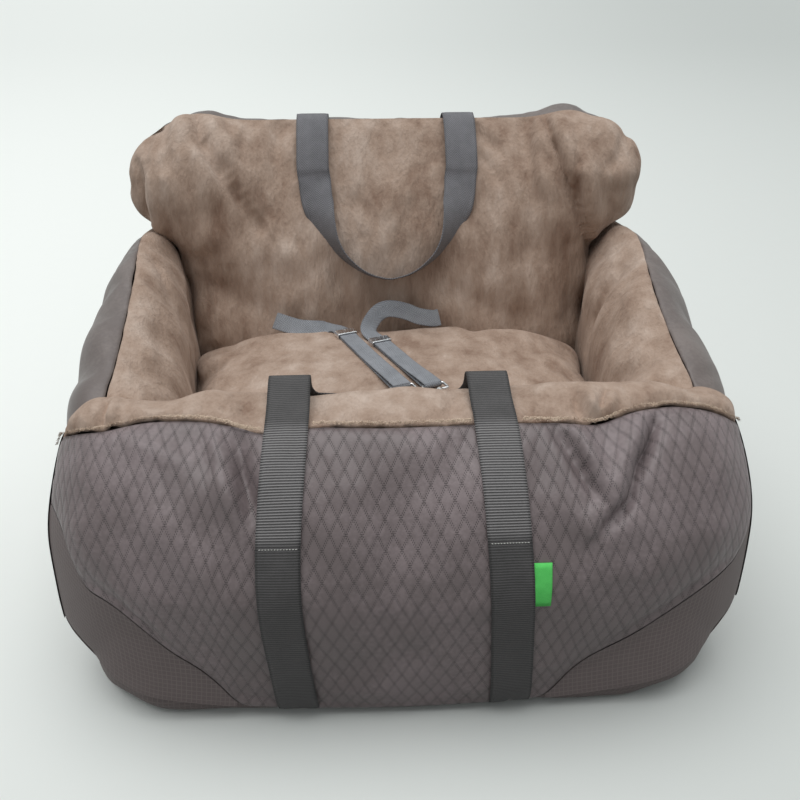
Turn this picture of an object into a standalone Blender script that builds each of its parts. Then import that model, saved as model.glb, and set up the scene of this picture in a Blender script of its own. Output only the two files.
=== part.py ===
"""Dog car seat: a booster tray with a stuffed rim, a seat cushion, a tall pillow backrest,
two carry handles and two harness tethers with snap hooks.

Metres, +Z up. The front faces -Y, and the origin is at the middle of the base.
"""

import math

import bmesh
import bpy
from mathutils import Matrix, Vector
from mathutils.bvhtree import BVHTree

# Overall sizes
WIDTH = 0.655
DEPTH = 0.606
BACKREST_HEIGHT = 0.455
BACKREST_SIDE_INSET = 0.0225
BACK_INSET = 0.0018

# Clearances and sheet thicknesses
TOUCH = 0.0003
SKIN = 0.0025
FILL_GAP = 0.0013
SEAM_GAP = 0.00085
OVERRUN = 0.010
FLAT_LIMIT = math.radians(0.2)

# Base tray and the foam in it
TRAY_HEIGHT = 0.075
TRAY_WALL = 0.002
TRAY_SIDE_INSET = 0.016
TRAY_FRONT_INSET = 0.043
TRAY_BACK_INSET = 0.012
TRAY_CORNER = 0.085
TRAY_BOTTOM_ROUND = 0.018
TRAY_CORNER_STEPS = 5
TRAY_BOTTOM_STEPS = 2
BLOCK_HEIGHT = 0.076

# Front bolster
RIM_HEIGHT = 0.293
RIM_DEPTH = 0.165
RIM_CORNER_DRAW = 0.070
RIM_END_TUCK = 0.030
APRON_CLEARANCE = 0.002
APRON_RISE = 0.074
APRON_GAP = 0.006
APRON_DRAW = 0.045
APRON_DRAW_SHARE = 0.75

# Side bolsters
SIDE_HEIGHT_FRONT = 0.283
SIDE_HEIGHT_PEAK = 0.340
SIDE_HEIGHT_BACK = 0.316
SIDE_PEAK_SHARE = 0.52
SIDE_SHOULDER = 0.118
SIDE_BACK_ROUND = 0.020
SIDE_BACK_DRAW = 0.012
SIDE_SEAM_INSET = 0.034
BOLSTER_WIDTH_FRONT = 0.1135
BOLSTER_WIDTH_BACK = 0.0655
CABIN_CLEARANCE = 0.0045

# Seat cushion
CUSHION_SHOULDER = 0.046
CUSHION_BACK_SHOULDER = 0.074
CUSHION_CROWN = 0.086
SEAT_DEPTH = 0.246

# Backrest
BACKREST_FOOT_DEPTH = 0.176
BACKREST_LEAN = 0.100
EAR_UNDERSIDE = 0.3405
EAR_FORWARD = 0.020
EAR_ROUND = 0.011

# Webbing
WEBBING_WIDTH = 0.038
WEBBING_THICKNESS = 0.0016
WEBBING_LIFT = 0.0018
STRAP_SAMPLES = 36
FRONT_LEFT_LEG = -0.103
FRONT_RIGHT_LEG_FOOT = 0.095
FRONT_RIGHT_LEG_TOP = 0.077
STRAP_SLANT_SHARE = 0.88
FRONT_PIVOT_DEPTH = 0.135
FRONT_PIVOT_HEIGHT = 0.140
FRONT_FOOT_ANGLE = math.radians(-48.5)
FRONT_LIFT_ANGLE = math.radians(52)
FRONT_FOLD_ANGLE = math.radians(90)
FRONT_FOLD_RISE = 0.0085
BACK_LEG = 0.088
BACK_PIVOT_DEPTH = 0.098
BACK_PIVOT_HEIGHT = 0.280
BACK_FOOT_ANGLE = math.radians(231)
BACK_LIFT_ANGLE = math.radians(128)
BACK_FOLD_ANGLE = math.radians(99)
BACK_FOLD_RISE = 0.003
FOLD_GAP = 0.0004
HINGE_PROUD = 0.0002

# Carry handles
CORNER_SAMPLES = 6
HANDLE_STEPS = 3
FRONT_HANDLE_DROP = math.radians(58)
FRONT_HANDLE_CURL = 0.012
FRONT_HANDLE_DEPTH = 0.043
FRONT_HANDLE_CORNER = 0.024
BACK_LEAVE_ANGLE = math.radians(74.5)
BACK_HANDLE_LIFT = 0.0016
BACK_HANDLE_DROP = 0.165
BACK_HANDLE_STAND = 0.024
BACK_HANDLE_TILT = math.radians(32)

# Tethers
TETHER_WIDTH = 0.020
TETHER_THICKNESS = 0.0013
TETHER_LAYER_GAP = 0.0006
TETHER_TAIL = 0.002
LEFT_TETHER_X = -0.0572
LEFT_TETHER_SETBACK = 0.0358
LEFT_TETHER_SHORT = 0.0602
LEFT_STRAIGHT_SHARE = 0.457
LEFT_TETHER_HEADING = math.radians(-68)
LEFT_GAP_X = -0.137
LEFT_RISE = 0.005
LEFT_TILT = math.radians(53)
RIGHT_TETHER_X = -0.0186
RIGHT_TETHER_SETBACK = 0.0605
RIGHT_TETHER_SHORT = 0.0610
RIGHT_STRAIGHT_SHARE = 0.544
RIGHT_TETHER_HEADING = math.radians(-66.5)
RIGHT_GAP_X = 0.058
RIGHT_RISE = 0.0205
RIGHT_TILT = math.radians(240)
TETHER_GAP_INSET = 0.0105
SLIDER_PLACE = 0.010
SLIDER_LENGTH = 0.012
SLIDER_BAR = 0.0018
SLIDER_ROUND = 0.0005
SLIDER_CLEARANCE = 0.0004
SLIDER_TRAVEL = 0.045

# Snap hooks
EYE_BAR = 0.0030
EYE_LENGTH = 0.013
EYE_SIDE_GAP = 0.0008
EYE_CORNER = 0.0025
STEM_WIDTH = 0.0026
STEM_LENGTH = 0.009
STEM_CLEARANCE = 0.0004
HOOK_WIRE = 0.0036
HOOK_BARREL = 0.0080
HOOK_BARREL_LENGTH = 0.012
HOOK_HALF_WIDTH = 0.0066
HOOK_LENGTH = 0.024
HOOK_TIP_LENGTH = 0.005
GATE_WIDTH = 0.0028
GATE_HINGE_GAP = 0.0009
GATE_TIP_GAP = 0.0009
ROUND_SIDES = 12
WIRE_RESOLUTION = 2

# Zip low on the back
ZIP_LENGTH = 0.300
ZIP_TAPE_HEIGHT = 0.024
ZIP_TAPE_THICKNESS = 0.0010
ZIP_CHAIN_HEIGHT = 0.0055
ZIP_CHAIN_PROUD = 0.0012
ZIP_LEVEL = 0.135
ZIP_SLIDER_LENGTH = 0.011
ZIP_SLIDER_HEIGHT = 0.0095
ZIP_SLIDER_DEPTH = 0.0045
ZIP_PULL_LENGTH = 0.028
ZIP_PULL_WIDTH = 0.0065
ZIP_PULL_THICKNESS = 0.0014

# Side tag
TAG_WIDTH = 0.016
TAG_HEIGHT = 0.040
TAG_THICKNESS = 0.0010
TAG_TOP = 0.186
TAG_GAP = 0.0006
TAG_SAMPLES = 5

FRONT = -DEPTH / 2
BACK = DEPTH / 2 - BACK_INSET
HALF = WIDTH / 2
BACKREST_HALF = HALF - BACKREST_SIDE_INSET
CABIN_HALF_FRONT = HALF - BOLSTER_WIDTH_FRONT
CABIN_HALF_BACK = HALF - BOLSTER_WIDTH_BACK
SEATING = TRAY_HEIGHT + TOUCH
TRAY_FRONT = FRONT + TRAY_FRONT_INSET
TRAY_BACK = BACK - TRAY_BACK_INSET
RIM_BACK = FRONT + RIM_DEPTH
SEAT_BACK = RIM_BACK + SEAT_DEPTH
BLOCK_TOP = SEATING + BLOCK_HEIGHT
CUSHION_FLOOR = BLOCK_TOP + TOUCH
LEATHER, PLUSH = 0, 1

# The back handle's right half where it hangs free, down to its lowest point: shares of the leg's
# place, of the drop and of the stand-off, and the share of a quarter turn that it has twisted.
BACK_HANDLE_SHARES = (
    (0.98, 0.38, 0.16, 0.00),
    (0.93, 0.54, 0.42, 0.20),
    (0.72, 0.77, 0.90, 0.75),
    (0.38, 0.94, 1.00, 0.95),
    (0.00, 1.00, 1.00, 1.00),
)

# Each tether's way from the gap behind the cushion to its straight stretch: shares of the way
# across, of the way back and of the rise.
LEFT_RUN_SHARES = (
    (1.00, 1.00, 1.00),
    (0.68, 0.40, 0.55),
    (0.41, 0.34, 0.25),
    (0.209, 0.447, 0.05),
    (0.08, 0.316, 0.00),
)
RIGHT_RUN_SHARES = (
    (1.00, 1.00, 0.22),
    (0.89, 0.92, 0.24),
    (0.67, 0.87, 0.44),
    (0.46, 0.85, 0.79),
    (0.21, 0.81, 1.00),
    (0.04, 0.75, 0.79),
    (-0.09, 0.54, 0.31),
    (-0.10, 0.30, 0.09),
)
LEFT_TWIST_SHARES = (0.0, 0.7)
RIGHT_TWIST_SHARES = (0.45, 1.0)


def make_collection(name, hidden=False):
    """A new collection under the scene, for parts or for helpers."""
    found = bpy.data.collections.new(name)
    found.hide_render = hidden
    bpy.context.scene.collection.children.link(found)
    return found


def make_material(name, colour, roughness, metallic=0.0):
    """A plain Principled material."""
    made = bpy.data.materials.new(name)
    made.use_nodes = True
    shader = made.node_tree.nodes["Principled BSDF"]
    shader.inputs["Base Color"].default_value = (*colour, 1.0)
    shader.inputs["Roughness"].default_value = roughness
    shader.inputs["Metallic"].default_value = metallic
    return made


def add_part(name, mesh, material):
    """Puts a mesh in the part's collection as a named sub-part."""
    part = bpy.data.objects.new(name, mesh)
    mesh.name = name
    mesh.materials.clear()
    mesh.materials.append(material)
    PARTS.objects.link(part)
    return part


def finish_mesh(shape, name):
    """Turns a bmesh into a mesh with its faces pointing out."""
    bmesh.ops.recalc_face_normals(shape, faces=shape.faces)
    mesh = bpy.data.meshes.new(name)
    shape.to_mesh(mesh)
    shape.free()
    return mesh


def cabin_half(y):
    """Half the cabin's width at a place along the seat: it widens towards the backrest."""
    share = min(max((y - RIM_BACK) / SEAT_DEPTH, 0.0), 1.0)
    return CABIN_HALF_FRONT + (CABIN_HALF_BACK - CABIN_HALF_FRONT) * share


def soft_form(rings, covers, end_cover, kept_lines=(), kept_ends=(), kept_steps=()):
    """A closed soft shape: a coarse cage of rings, subdivided once.

    Each face carries the number of its cover. The lines and end rings named as kept stay sharp,
    so that flat faces between them lie flat against a neighbour. Kept steps name a ring and one of
    its sides that stays sharp.
    """
    cage = bmesh.new()
    crease = cage.edges.layers.float.new("crease_edge")
    loops = [[cage.verts.new(point) for point in ring] for ring in rings]
    count = len(rings[0])
    for near, far in zip(loops, loops[1:]):
        for k in range(count):
            step = (k + 1) % count
            face = cage.faces.new((near[k], near[step], far[step], far[k]))
            face.material_index = covers[k]
        for k in kept_lines:
            cage.edges.get((near[k], far[k]))[crease] = 1.0
    for end, loop in ((0, loops[0]), (1, loops[-1])):
        cage.faces.new(loop).material_index = end_cover
        if end in kept_ends:
            for a, b in zip(loop, loop[1:] + loop[:1]):
                cage.edges.get((a, b))[crease] = 1.0
    for ring, k in kept_steps:
        cage.edges.get((loops[ring][k], loops[ring][(k + 1) % count]))[crease] = 1.0
    holder = bpy.data.objects.new("cage", finish_mesh(cage, "cage"))
    for slot in range(2):
        holder.data.materials.append(None)
    GUIDES.objects.link(holder)
    smooth = holder.modifiers.new("Subdivision", "SUBSURF")
    smooth.levels = smooth.render_levels = 1
    graph = bpy.context.evaluated_depsgraph_get()
    form = bpy.data.meshes.new_from_object(holder.evaluated_get(graph))
    bpy.data.objects.remove(holder)
    shape = bmesh.new()
    shape.from_mesh(form)
    bmesh.ops.triangulate(shape, faces=shape.faces[:])
    shape.to_mesh(form)
    shape.free()
    return form


def stretch(form, axis, fixed, reach):
    """Stretches the part of a form beyond a fixed plane, so that it ends exactly at reach."""
    away = 1.0 if reach > fixed else -1.0
    furthest = max(away * (vertex.co[axis] - fixed) for vertex in form.vertices)
    scale = abs(reach - fixed) / furthest
    for vertex in form.vertices:
        beyond = vertex.co[axis] - fixed
        if away * beyond > 0:
            vertex.co[axis] = fixed + beyond * scale
    form.update()


def skin(name, form, cover, material):
    """A sheet of cover under the form's faces of that cover, open at its seams."""
    loops = [tuple(face.vertices) for face in form.polygons if face.material_index == cover]
    directed = {edge for loop in loops for edge in zip(loop, loop[1:] + loop[:1])}
    rim = [(a, b) for a, b in directed if (b, a) not in directed]
    on_rim = {index for edge in rim for index in edge}
    pull = {index: Vector() for index in on_rim}
    for loop in loops:
        middle = sum((form.vertices[index].co for index in loop), Vector()) / len(loop)
        for index in on_rim.intersection(loop):
            pull[index] += (middle - form.vertices[index].co).normalized()
    shell = bmesh.new()
    outer, inner = {}, {}
    for index in sorted({index for loop in loops for index in loop}):
        vertex = form.vertices[index]
        place = vertex.co.copy()
        if index in pull:
            place += pull[index].normalized() * SEAM_GAP
        outer[index] = shell.verts.new(place)
        inner[index] = shell.verts.new(place - vertex.normal * SKIN)
    for loop in loops:
        shell.faces.new([outer[index] for index in loop])
        shell.faces.new([inner[index] for index in reversed(loop)])
    for a, b in sorted(rim):
        shell.faces.new((outer[b], outer[a], inner[a], inner[b]))
    return add_part(name, finish_mesh(shell, name), material)


def fill(name, form, material):
    """The stuffing inside a form's skins."""
    core = bmesh.new()
    core.from_mesh(form)
    depth = SKIN + FILL_GAP
    normals = [vertex.normal.copy() for vertex in form.vertices]
    for vertex in core.verts:
        vertex.co -= normals[vertex.index] * depth
    return add_part(name, finish_mesh(core, name), material)


def tree_of(form):
    """A search tree of a form, for laying webbing on it."""
    shape = bmesh.new()
    shape.from_mesh(form)
    tree = BVHTree.FromBMesh(shape)
    shape.free()
    return tree


def tangents(line):
    """The direction of travel at each point of a line."""
    last = len(line) - 1
    return [(line[min(i + 1, last)] - line[max(i - 1, 0)]).normalized() for i in range(last + 1)]


def band(name, centres, sides, width, thickness, material):
    """A strap: flat webbing along a line of points, each with the direction of its width."""
    shape = bmesh.new()
    loops = []
    for centre, side, along in zip(centres, sides, tangents(centres)):
        across = (side - along * side.dot(along)).normalized()
        up = along.cross(across)
        half, rise = across * (width / 2), up * (thickness / 2)
        corners = (centre - half - rise, centre + half - rise, centre + half + rise, centre - half + rise)
        loops.append([shape.verts.new(corner) for corner in corners])
    for near, far in zip(loops, loops[1:]):
        for k in range(4):
            step = (k + 1) % 4
            shape.faces.new((near[k], near[step], far[step], far[k]))
    shape.faces.new(reversed(loops[0]))
    shape.faces.new(loops[-1])
    bmesh.ops.connect_verts_nonplanar(shape, angle_limit=FLAT_LIMIT, faces=shape.faces[:])
    return add_part(name, finish_mesh(shape, name), material)


def smooth_line(points, steps):
    """A smooth curve through hand-chosen points, as a list of steps + 1 places a stretch."""
    padded = [points[0] * 2 - points[1], *points, points[-1] * 2 - points[-2]]
    line = []
    for a, b, c, d in zip(padded, padded[1:], padded[2:], padded[3:]):
        for i in range(steps):
            t = i / steps
            line.append(
                0.5 * ((b * 2) + (c - a) * t + (a * 2 - b * 5 + c * 4 - d) * t**2 + (b * 3 - a - c * 3 + d) * t**3)
            )
    line.append(points[-1].copy())
    return line


def box(name, low, high, material, rounding=0.0, steps=1):
    """A block between two corners, with all its edges rounded."""
    shape = bmesh.new()
    bmesh.ops.create_cube(shape, size=1.0)
    low, high = Vector(low), Vector(high)
    size, middle = high - low, (high + low) / 2
    for vertex in shape.verts:
        vertex.co = Vector(vertex.co[k] * size[k] + middle[k] for k in range(3))
    if rounding:
        bmesh.ops.bevel(shape, geom=shape.edges[:], offset=rounding, segments=steps, profile=0.5, affect="EDGES")
    return add_part(name, finish_mesh(shape, name), material)


def tray_shape(inset, floor, top, open_top):
    """The tray's rounded block, inset all round; without its top it is the tray's outside."""
    shape = bmesh.new()
    bmesh.ops.create_cube(shape, size=1.0)
    half = HALF - TRAY_SIDE_INSET - inset
    front, back = TRAY_FRONT + inset, TRAY_BACK - inset
    for vertex in shape.verts:
        x, y, z = vertex.co
        vertex.co = (math.copysign(half, x), front if y < 0 else back, floor if z < 0 else top)
    upright = [edge for edge in shape.edges if abs(edge.verts[0].co.z - edge.verts[1].co.z) > TOUCH]
    bmesh.ops.bevel(
        shape, geom=upright, offset=TRAY_CORNER - inset, segments=TRAY_CORNER_STEPS, profile=0.5, affect="EDGES"
    )
    bottom = [edge for edge in shape.edges if max(vertex.co.z for vertex in edge.verts) < floor + TOUCH]
    bmesh.ops.bevel(
        shape, geom=bottom, offset=TRAY_BOTTOM_ROUND - inset, segments=TRAY_BOTTOM_STEPS, profile=0.5, affect="EDGES"
    )
    if open_top:
        lids = [face for face in shape.faces if face.normal.z > 0.9 and face.calc_center_median().z > top - TOUCH]
        bmesh.ops.delete(shape, geom=lids, context="FACES_ONLY")
    return shape


def build_base():
    """The ripstop tray, the foam slab in it and the foam block under the cushion."""
    tray = add_part("base_panel", finish_mesh(tray_shape(0.0, 0.0, TRAY_HEIGHT, True), "tray"), RIPSTOP)
    wall = tray.modifiers.new("Wall", "SOLIDIFY")
    wall.thickness = TRAY_WALL
    wall.offset = -1.0
    inset = TRAY_WALL + TOUCH
    add_part("booster_slab", finish_mesh(tray_shape(inset, inset, TRAY_HEIGHT, False), "slab"), FOAM)
    block = box(
        "booster_block",
        (-CABIN_HALF_BACK, RIM_BACK + TOUCH, SEATING),
        (CABIN_HALF_BACK, SEAT_BACK, BLOCK_TOP),
        FOAM,
    )
    for vertex in block.data.vertices:
        vertex.co.x = math.copysign(cabin_half(vertex.co.y) - CABIN_CLEARANCE, vertex.co.x)


def front_ring(x):
    """One section of the front bolster: an apron in front of the tray, a bulging face, a crest."""
    share = abs(x) / HALF
    draw = RIM_CORNER_DRAW * share**6
    tuck = RIM_END_TUCK * share**8
    front = FRONT + draw
    depth = RIM_BACK - front
    rise = APRON_RISE * min(share * 1.06, 1.0) ** 5
    far = max(share - APRON_DRAW_SHARE, 0.0) / (1.0 - APRON_DRAW_SHARE)
    apron_back = TRAY_FRONT - APRON_GAP + APRON_DRAW * far**2
    lip = APRON_CLEARANCE + rise
    height = RIM_HEIGHT - tuck
    outline_shares = (
        (0.00, 0.26),
        (-0.02, 0.52),
        (0.04, 0.75),
        (0.22, 0.90),
        (0.50, 0.985),
        (0.80, 1.02),
        (0.985, 0.92),
    )
    points = [(front + 0.05 * depth, lip)]
    points += [(front + a * depth, max(b * height, lip + TOUCH)) for a, b in outline_shares]
    points += [
        (RIM_BACK, 0.72 * height),
        (RIM_BACK, SEATING),
        (apron_back, SEATING),
        (apron_back, lip),
    ]
    return [Vector((x, y, z)) for y, z in points]


def build_front_bolster():
    """The rim's front: stuffing, the leatherette panel and the plush lining."""
    station_shares = (-1.0, -0.92, -0.75, 0.0, 0.75, 0.92, 1.0)
    rings = [front_ring(share * HALF) for share in station_shares]
    covers = [LEATHER] * 5 + [PLUSH] * 4 + [LEATHER] * 3
    form = soft_form(rings, covers, LEATHER, kept_lines=(9, 10, 11))
    stretch(form, 0, 0.0, HALF)
    stretch(form, 0, 0.0, -HALF)
    stretch(form, 1, TRAY_FRONT - APRON_GAP, FRONT)
    stretch(form, 2, SEATING, RIM_HEIGHT)
    skin("front_panel", form, LEATHER, LEATHERETTE)
    skin("front_lining", form, PLUSH, PLUSH_FABRIC)
    fill("front_fill", form, FIBRE)
    return form


def side_height(share):
    """The height of a side bolster's crest: it climbs to its peak, then falls under the ears."""
    if share < SIDE_PEAK_SHARE:
        climb = math.sin(share / SIDE_PEAK_SHARE * math.pi / 2)
        return SIDE_HEIGHT_FRONT + (SIDE_HEIGHT_PEAK - SIDE_HEIGHT_FRONT) * climb
    fall = (share - SIDE_PEAK_SHARE) / (1.0 - SIDE_PEAK_SHARE)
    return SIDE_HEIGHT_PEAK + (SIDE_HEIGHT_BACK - SIDE_HEIGHT_PEAK) * fall


def side_ring(y, height, scale):
    """One section of a right-hand side bolster: upright inside, bulging outside."""
    inner = cabin_half(y) + TOUCH
    outer = HALF - SIDE_BACK_DRAW * max((y - RIM_BACK) / (BACK - RIM_BACK), 0.0) ** 3
    middle = (inner + outer) / 2
    points = [
        (inner, SEATING),
        (inner, SEATING + SIDE_SHOULDER),
        (inner + 0.03 * (outer - inner), 0.80 * height),
        (inner + 0.16 * (outer - inner), 0.98 * height),
        (outer - SIDE_SEAM_INSET, 1.04 * height),
        (outer - 0.10 * (outer - inner), 0.94 * height),
        (outer, 0.72 * height),
        (outer, 0.44 * height),
        (outer - 0.12 * (outer - inner), SEATING),
    ]
    low = SEATING
    return [Vector((middle + (x - middle) * scale, y, low + (z - low) * scale)) for x, z in points]


def build_side_bolster(hand):
    """One side of the rim. The left one is the right one mirrored."""
    front, back = RIM_BACK + TOUCH, BACK - SIDE_BACK_ROUND
    place_shares = (0.0, 0.20, 0.42, 0.62, 0.80, 1.0)
    rings = []
    for share in place_shares:
        rings.append(side_ring(front + (back - front) * share, side_height(share), 1.0))
    rings.append(side_ring(back + SIDE_BACK_ROUND, SIDE_HEIGHT_BACK, 0.80))
    for ring in rings:
        for point in ring:
            point.x *= hand
    covers = [PLUSH] * 4 + [LEATHER] * 5
    form = soft_form(rings, covers, LEATHER, kept_lines=(0, 1, 8), kept_ends=(0,))
    stretch(form, 0, hand * CABIN_HALF_BACK, hand * HALF)
    stretch(form, 2, SEATING + SIDE_SHOULDER, SIDE_HEIGHT_PEAK)
    side = "right" if hand > 0 else "left"
    skin(f"{side}_side_panel", form, LEATHER, LEATHERETTE)
    skin(f"{side}_lining", form, PLUSH, PLUSH_FABRIC)
    fill(f"{side}_fill", form, FIBRE)


def cushion_ring(share):
    """One section of the seat cushion, from its side (share 1) to its middle (share 0)."""
    front, back = RIM_BACK + TOUCH, SEAT_BACK - TOUCH
    length = back - front
    fall = abs(share) ** 4
    shoulder = CUSHION_FLOOR + CUSHION_SHOULDER
    crown = CUSHION_FLOOR + CUSHION_CROWN - (CUSHION_CROWN - CUSHION_SHOULDER) * fall
    tuck = 0.6 + 0.4 * (1.0 - fall)
    points = [
        (0.0, CUSHION_FLOOR),
        (0.0, CUSHION_FLOOR + CUSHION_SHOULDER * tuck),
        (0.08, shoulder + 0.55 * (crown - shoulder)),
        (0.36, crown),
        (0.66, crown),
        (0.95, shoulder + 0.95 * (crown - shoulder)),
        (1.0, CUSHION_FLOOR + CUSHION_BACK_SHOULDER * tuck),
        (1.0, CUSHION_FLOOR),
    ]
    ring = []
    for along, z in points:
        y = front + along * length
        ring.append(Vector((share * (cabin_half(y) - CABIN_CLEARANCE), y, z)))
    return ring


def build_cushion():
    """The seat cushion: crowned plush cover, a lining under it, and its stuffing."""
    station_shares = (-1.0, -0.92, -0.66, 0.0, 0.66, 0.92, 1.0)
    rings = [cushion_ring(share) for share in station_shares]
    covers = [PLUSH] * 7 + [LEATHER]
    form = soft_form(rings, covers, PLUSH, kept_lines=(0, 7))
    stretch(form, 2, CUSHION_FLOOR, CUSHION_FLOOR + CUSHION_CROWN)
    skin("seat_cushion_cover", form, PLUSH, PLUSH_FABRIC)
    skin("seat_cushion_lining", form, LEATHER, RIPSTOP)
    fill("seat_cushion_fill", form, FIBRE)
    return form


def backrest_ring(x, foot, rise_share, top_share):
    """One section of the backrest. Foot is its underside, which steps up over the side bolsters."""
    front = SEAT_BACK + TOUCH
    height = BACKREST_HEIGHT * top_share
    back = front + BACKREST_FOOT_DEPTH
    lean = BACKREST_LEAN
    shoulder = max(SEATING + SIDE_SHOULDER, foot + TOUCH)
    ahead = EAR_FORWARD * rise_share
    lower_front = front + 0.45 * lean * rise_share
    span = height - shoulder
    points = [
        (lower_front, foot),
        (lower_front - 0.2 * ahead, shoulder + 0.04 * span * rise_share),
        (front + 0.22 * lean - 0.3 * ahead, shoulder + 0.42 * span),
        (front + 0.52 * lean - ahead, shoulder + 0.74 * span),
        (front + 0.90 * lean - 0.8 * ahead, shoulder + 0.99 * span),
        (front + 1.30 * lean, shoulder + 1.06 * span),
        (back - 0.06 * lean, shoulder + 0.96 * span),
        (back + 0.06 * lean, shoulder + 0.66 * span),
        (back + 0.06 * lean, shoulder + 0.26 * span),
        (back - 0.10 * lean - 0.4 * ahead, foot),
    ]
    return [Vector((x, y, z)) for y, z in points]


def build_backrest():
    """The pillow backrest: its foot stands between the side bolsters, its ears lie over them."""
    inside = CABIN_HALF_BACK - CABIN_CLEARANCE
    half = [
        (BACKREST_HALF, EAR_UNDERSIDE, 1.0, 0.91),
        (BACKREST_HALF - EAR_ROUND, EAR_UNDERSIDE, 1.0, 0.98),
        (inside + TOUCH, EAR_UNDERSIDE, 1.0, 1.0),
        (inside, SEATING, 0.0, 1.0),
        (0.0, SEATING, 0.0, 0.98),
    ]
    left = [(-x, foot, rise, top) for x, foot, rise, top in half]
    rings = [backrest_ring(*values) for values in left + half[-2::-1]]
    covers = [PLUSH] * 5 + [LEATHER] * 5
    step = len(half) - 3
    steps = [(ring, side) for ring in (step, step + 1, -step - 2, -step - 1) for side in (0, 9)]
    form = soft_form(rings, covers, PLUSH, kept_lines=(0, 1, 9), kept_steps=steps)
    stretch(form, 0, inside, BACKREST_HALF)
    stretch(form, 0, -inside, -BACKREST_HALF)
    stretch(form, 1, SEAT_BACK + BACKREST_LEAN, BACK)
    stretch(form, 2, EAR_UNDERSIDE, BACKREST_HEIGHT)
    skin("backrest_cover", form, PLUSH, PLUSH_FABRIC)
    skin("back_panel", form, LEATHER, LEATHERETTE)
    fill("backrest_fill", form, FIBRE)
    return form


def spread(start, end, count):
    """Evenly spread values from start to end."""
    return [start + (end - start) * i / (count - 1) for i in range(count)]


def smooth_step(value, low, high):
    """Zero at low, one at high, and a smooth rise between."""
    share = min(max((value - low) / (high - low), 0.0), 1.0)
    return share * share * (3.0 - 2.0 * share)


def laid_line(tree, place, pivot, angles, lift, width, thickness):
    """The centre points of webbing laid on a form, seen round a pivot line along X.

    An angle of zero looks to the front and a quarter turn looks up. The line keeps outside the form
    under the webbing's whole width, and lift tells how far it stands off at each angle.
    """
    line = []
    for i, angle in enumerate(angles):
        away = Vector((0.0, -math.cos(angle), math.sin(angle)))
        x = place(i / (len(angles) - 1))
        reach = 0.0
        for share in (-0.5, 0.0, 0.5):
            centre = Vector((x + share * width, *pivot))
            hit = tree.ray_cast(centre + away * WIDTH, -away)[0]
            if hit is not None:
                reach = max(reach, (hit - centre).dot(away))
        line.append(Vector((x, *pivot)) + away * (reach + lift(angle) + thickness / 2))
    return line


def join_at_fold(lines, lift_off):
    """Brings the ends of two laid lines to one fold, and finds the fold and its hinge axis."""
    fold = sum((line[-1] for line in lines), Vector()) / len(lines)
    way = sum((line[-1] - line[-2] for line in lines), Vector())
    way.x = 0.0
    way.normalize()
    for line in lines:
        line[-1] = Vector((line[-1].x, fold.y, fold.z)) - way * FOLD_GAP
    up = Vector((1, 0, 0)).cross(way)
    if up.z < 0:
        up.negate()
    axis = Vector((0.0, fold.y, fold.z)) + up * (WEBBING_THICKNESS / 2 + lift_off)
    return Vector((0.0, fold.y, fold.z)), way, axis


def lay_straps(names, lines, material):
    """The webbing of a pair of laid lines."""
    for name, line in zip(names, lines):
        band(name, line, [Vector((1, 0, 0))] * len(line), WEBBING_WIDTH, WEBBING_THICKNESS, material)


def build_front_straps():
    """The two straps down the front panel from the fold at the crest, and the side tag."""
    tree = tree_of(FRONT_FORM)
    pivot = (FRONT + FRONT_PIVOT_DEPTH, FRONT_PIVOT_HEIGHT)
    angles = spread(FRONT_FOOT_ANGLE, FRONT_FOLD_ANGLE, STRAP_SAMPLES)

    def lift(angle):
        return WEBBING_LIFT + FRONT_FOLD_RISE * smooth_step(angle, FRONT_LIFT_ANGLE, FRONT_FOLD_ANGLE)

    def left_place(share):
        return FRONT_LEFT_LEG

    def right_place(share):
        slant = min(share / STRAP_SLANT_SHARE, 1.0)
        return FRONT_RIGHT_LEG_FOOT + (FRONT_RIGHT_LEG_TOP - FRONT_RIGHT_LEG_FOOT) * slant

    lines = [
        laid_line(tree, place, pivot, angles, lift, WEBBING_WIDTH, WEBBING_THICKNESS)
        for place in (left_place, right_place)
    ]
    fold = join_at_fold(lines, HINGE_PROUD)
    lay_straps(("front_left_strap", "front_right_strap"), lines, DARK_WEBBING)
    build_side_tag(tree, pivot)
    return fold


def build_side_tag(tree, pivot):
    """The small woven tag at the outer edge of the right front strap."""
    place = FRONT_RIGHT_LEG_FOOT + (WEBBING_WIDTH + TAG_WIDTH) / 2 + TAG_GAP
    ends = [math.atan2(z - pivot[1], pivot[0] - FRONT) for z in (TAG_TOP - TAG_HEIGHT, TAG_TOP)]
    angles = spread(*ends, TAG_SAMPLES)
    line = laid_line(tree, lambda share: place, pivot, angles, lambda angle: TAG_GAP, TAG_WIDTH, TAG_THICKNESS)
    band("side_tag", line, [Vector((1, 0, 0))] * len(line), TAG_WIDTH, TAG_THICKNESS, TAG_CLOTH)


def back_lift(angle):
    """How far the back webbing stands off: a little more towards its fold on the crest."""
    return WEBBING_LIFT + BACK_FOLD_RISE * smooth_step(-angle, -BACK_LIFT_ANGLE, -BACK_FOLD_ANGLE)


def build_back_straps():
    """The two straps up the back panel to the fold at the backrest's crest."""
    tree = tree_of(BACKREST_FORM)
    pivot = (SEAT_BACK + BACK_PIVOT_DEPTH, BACK_PIVOT_HEIGHT)
    angles = spread(BACK_FOOT_ANGLE, BACK_FOLD_ANGLE, STRAP_SAMPLES)
    lines = [
        laid_line(tree, lambda share: x, pivot, angles, back_lift, WEBBING_WIDTH, WEBBING_THICKNESS)
        for x in (-BACK_LEG, BACK_LEG)
    ]
    fold = join_at_fold(lines, HINGE_PROUD)
    lay_straps(("back_left_strap", "back_right_strap"), lines, GREY_WEBBING)
    return fold


def move_origin(part, place):
    """Puts a part's origin on its joint without moving the part."""
    part.data.transform(Matrix.Translation(-place))
    part.location = place


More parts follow.
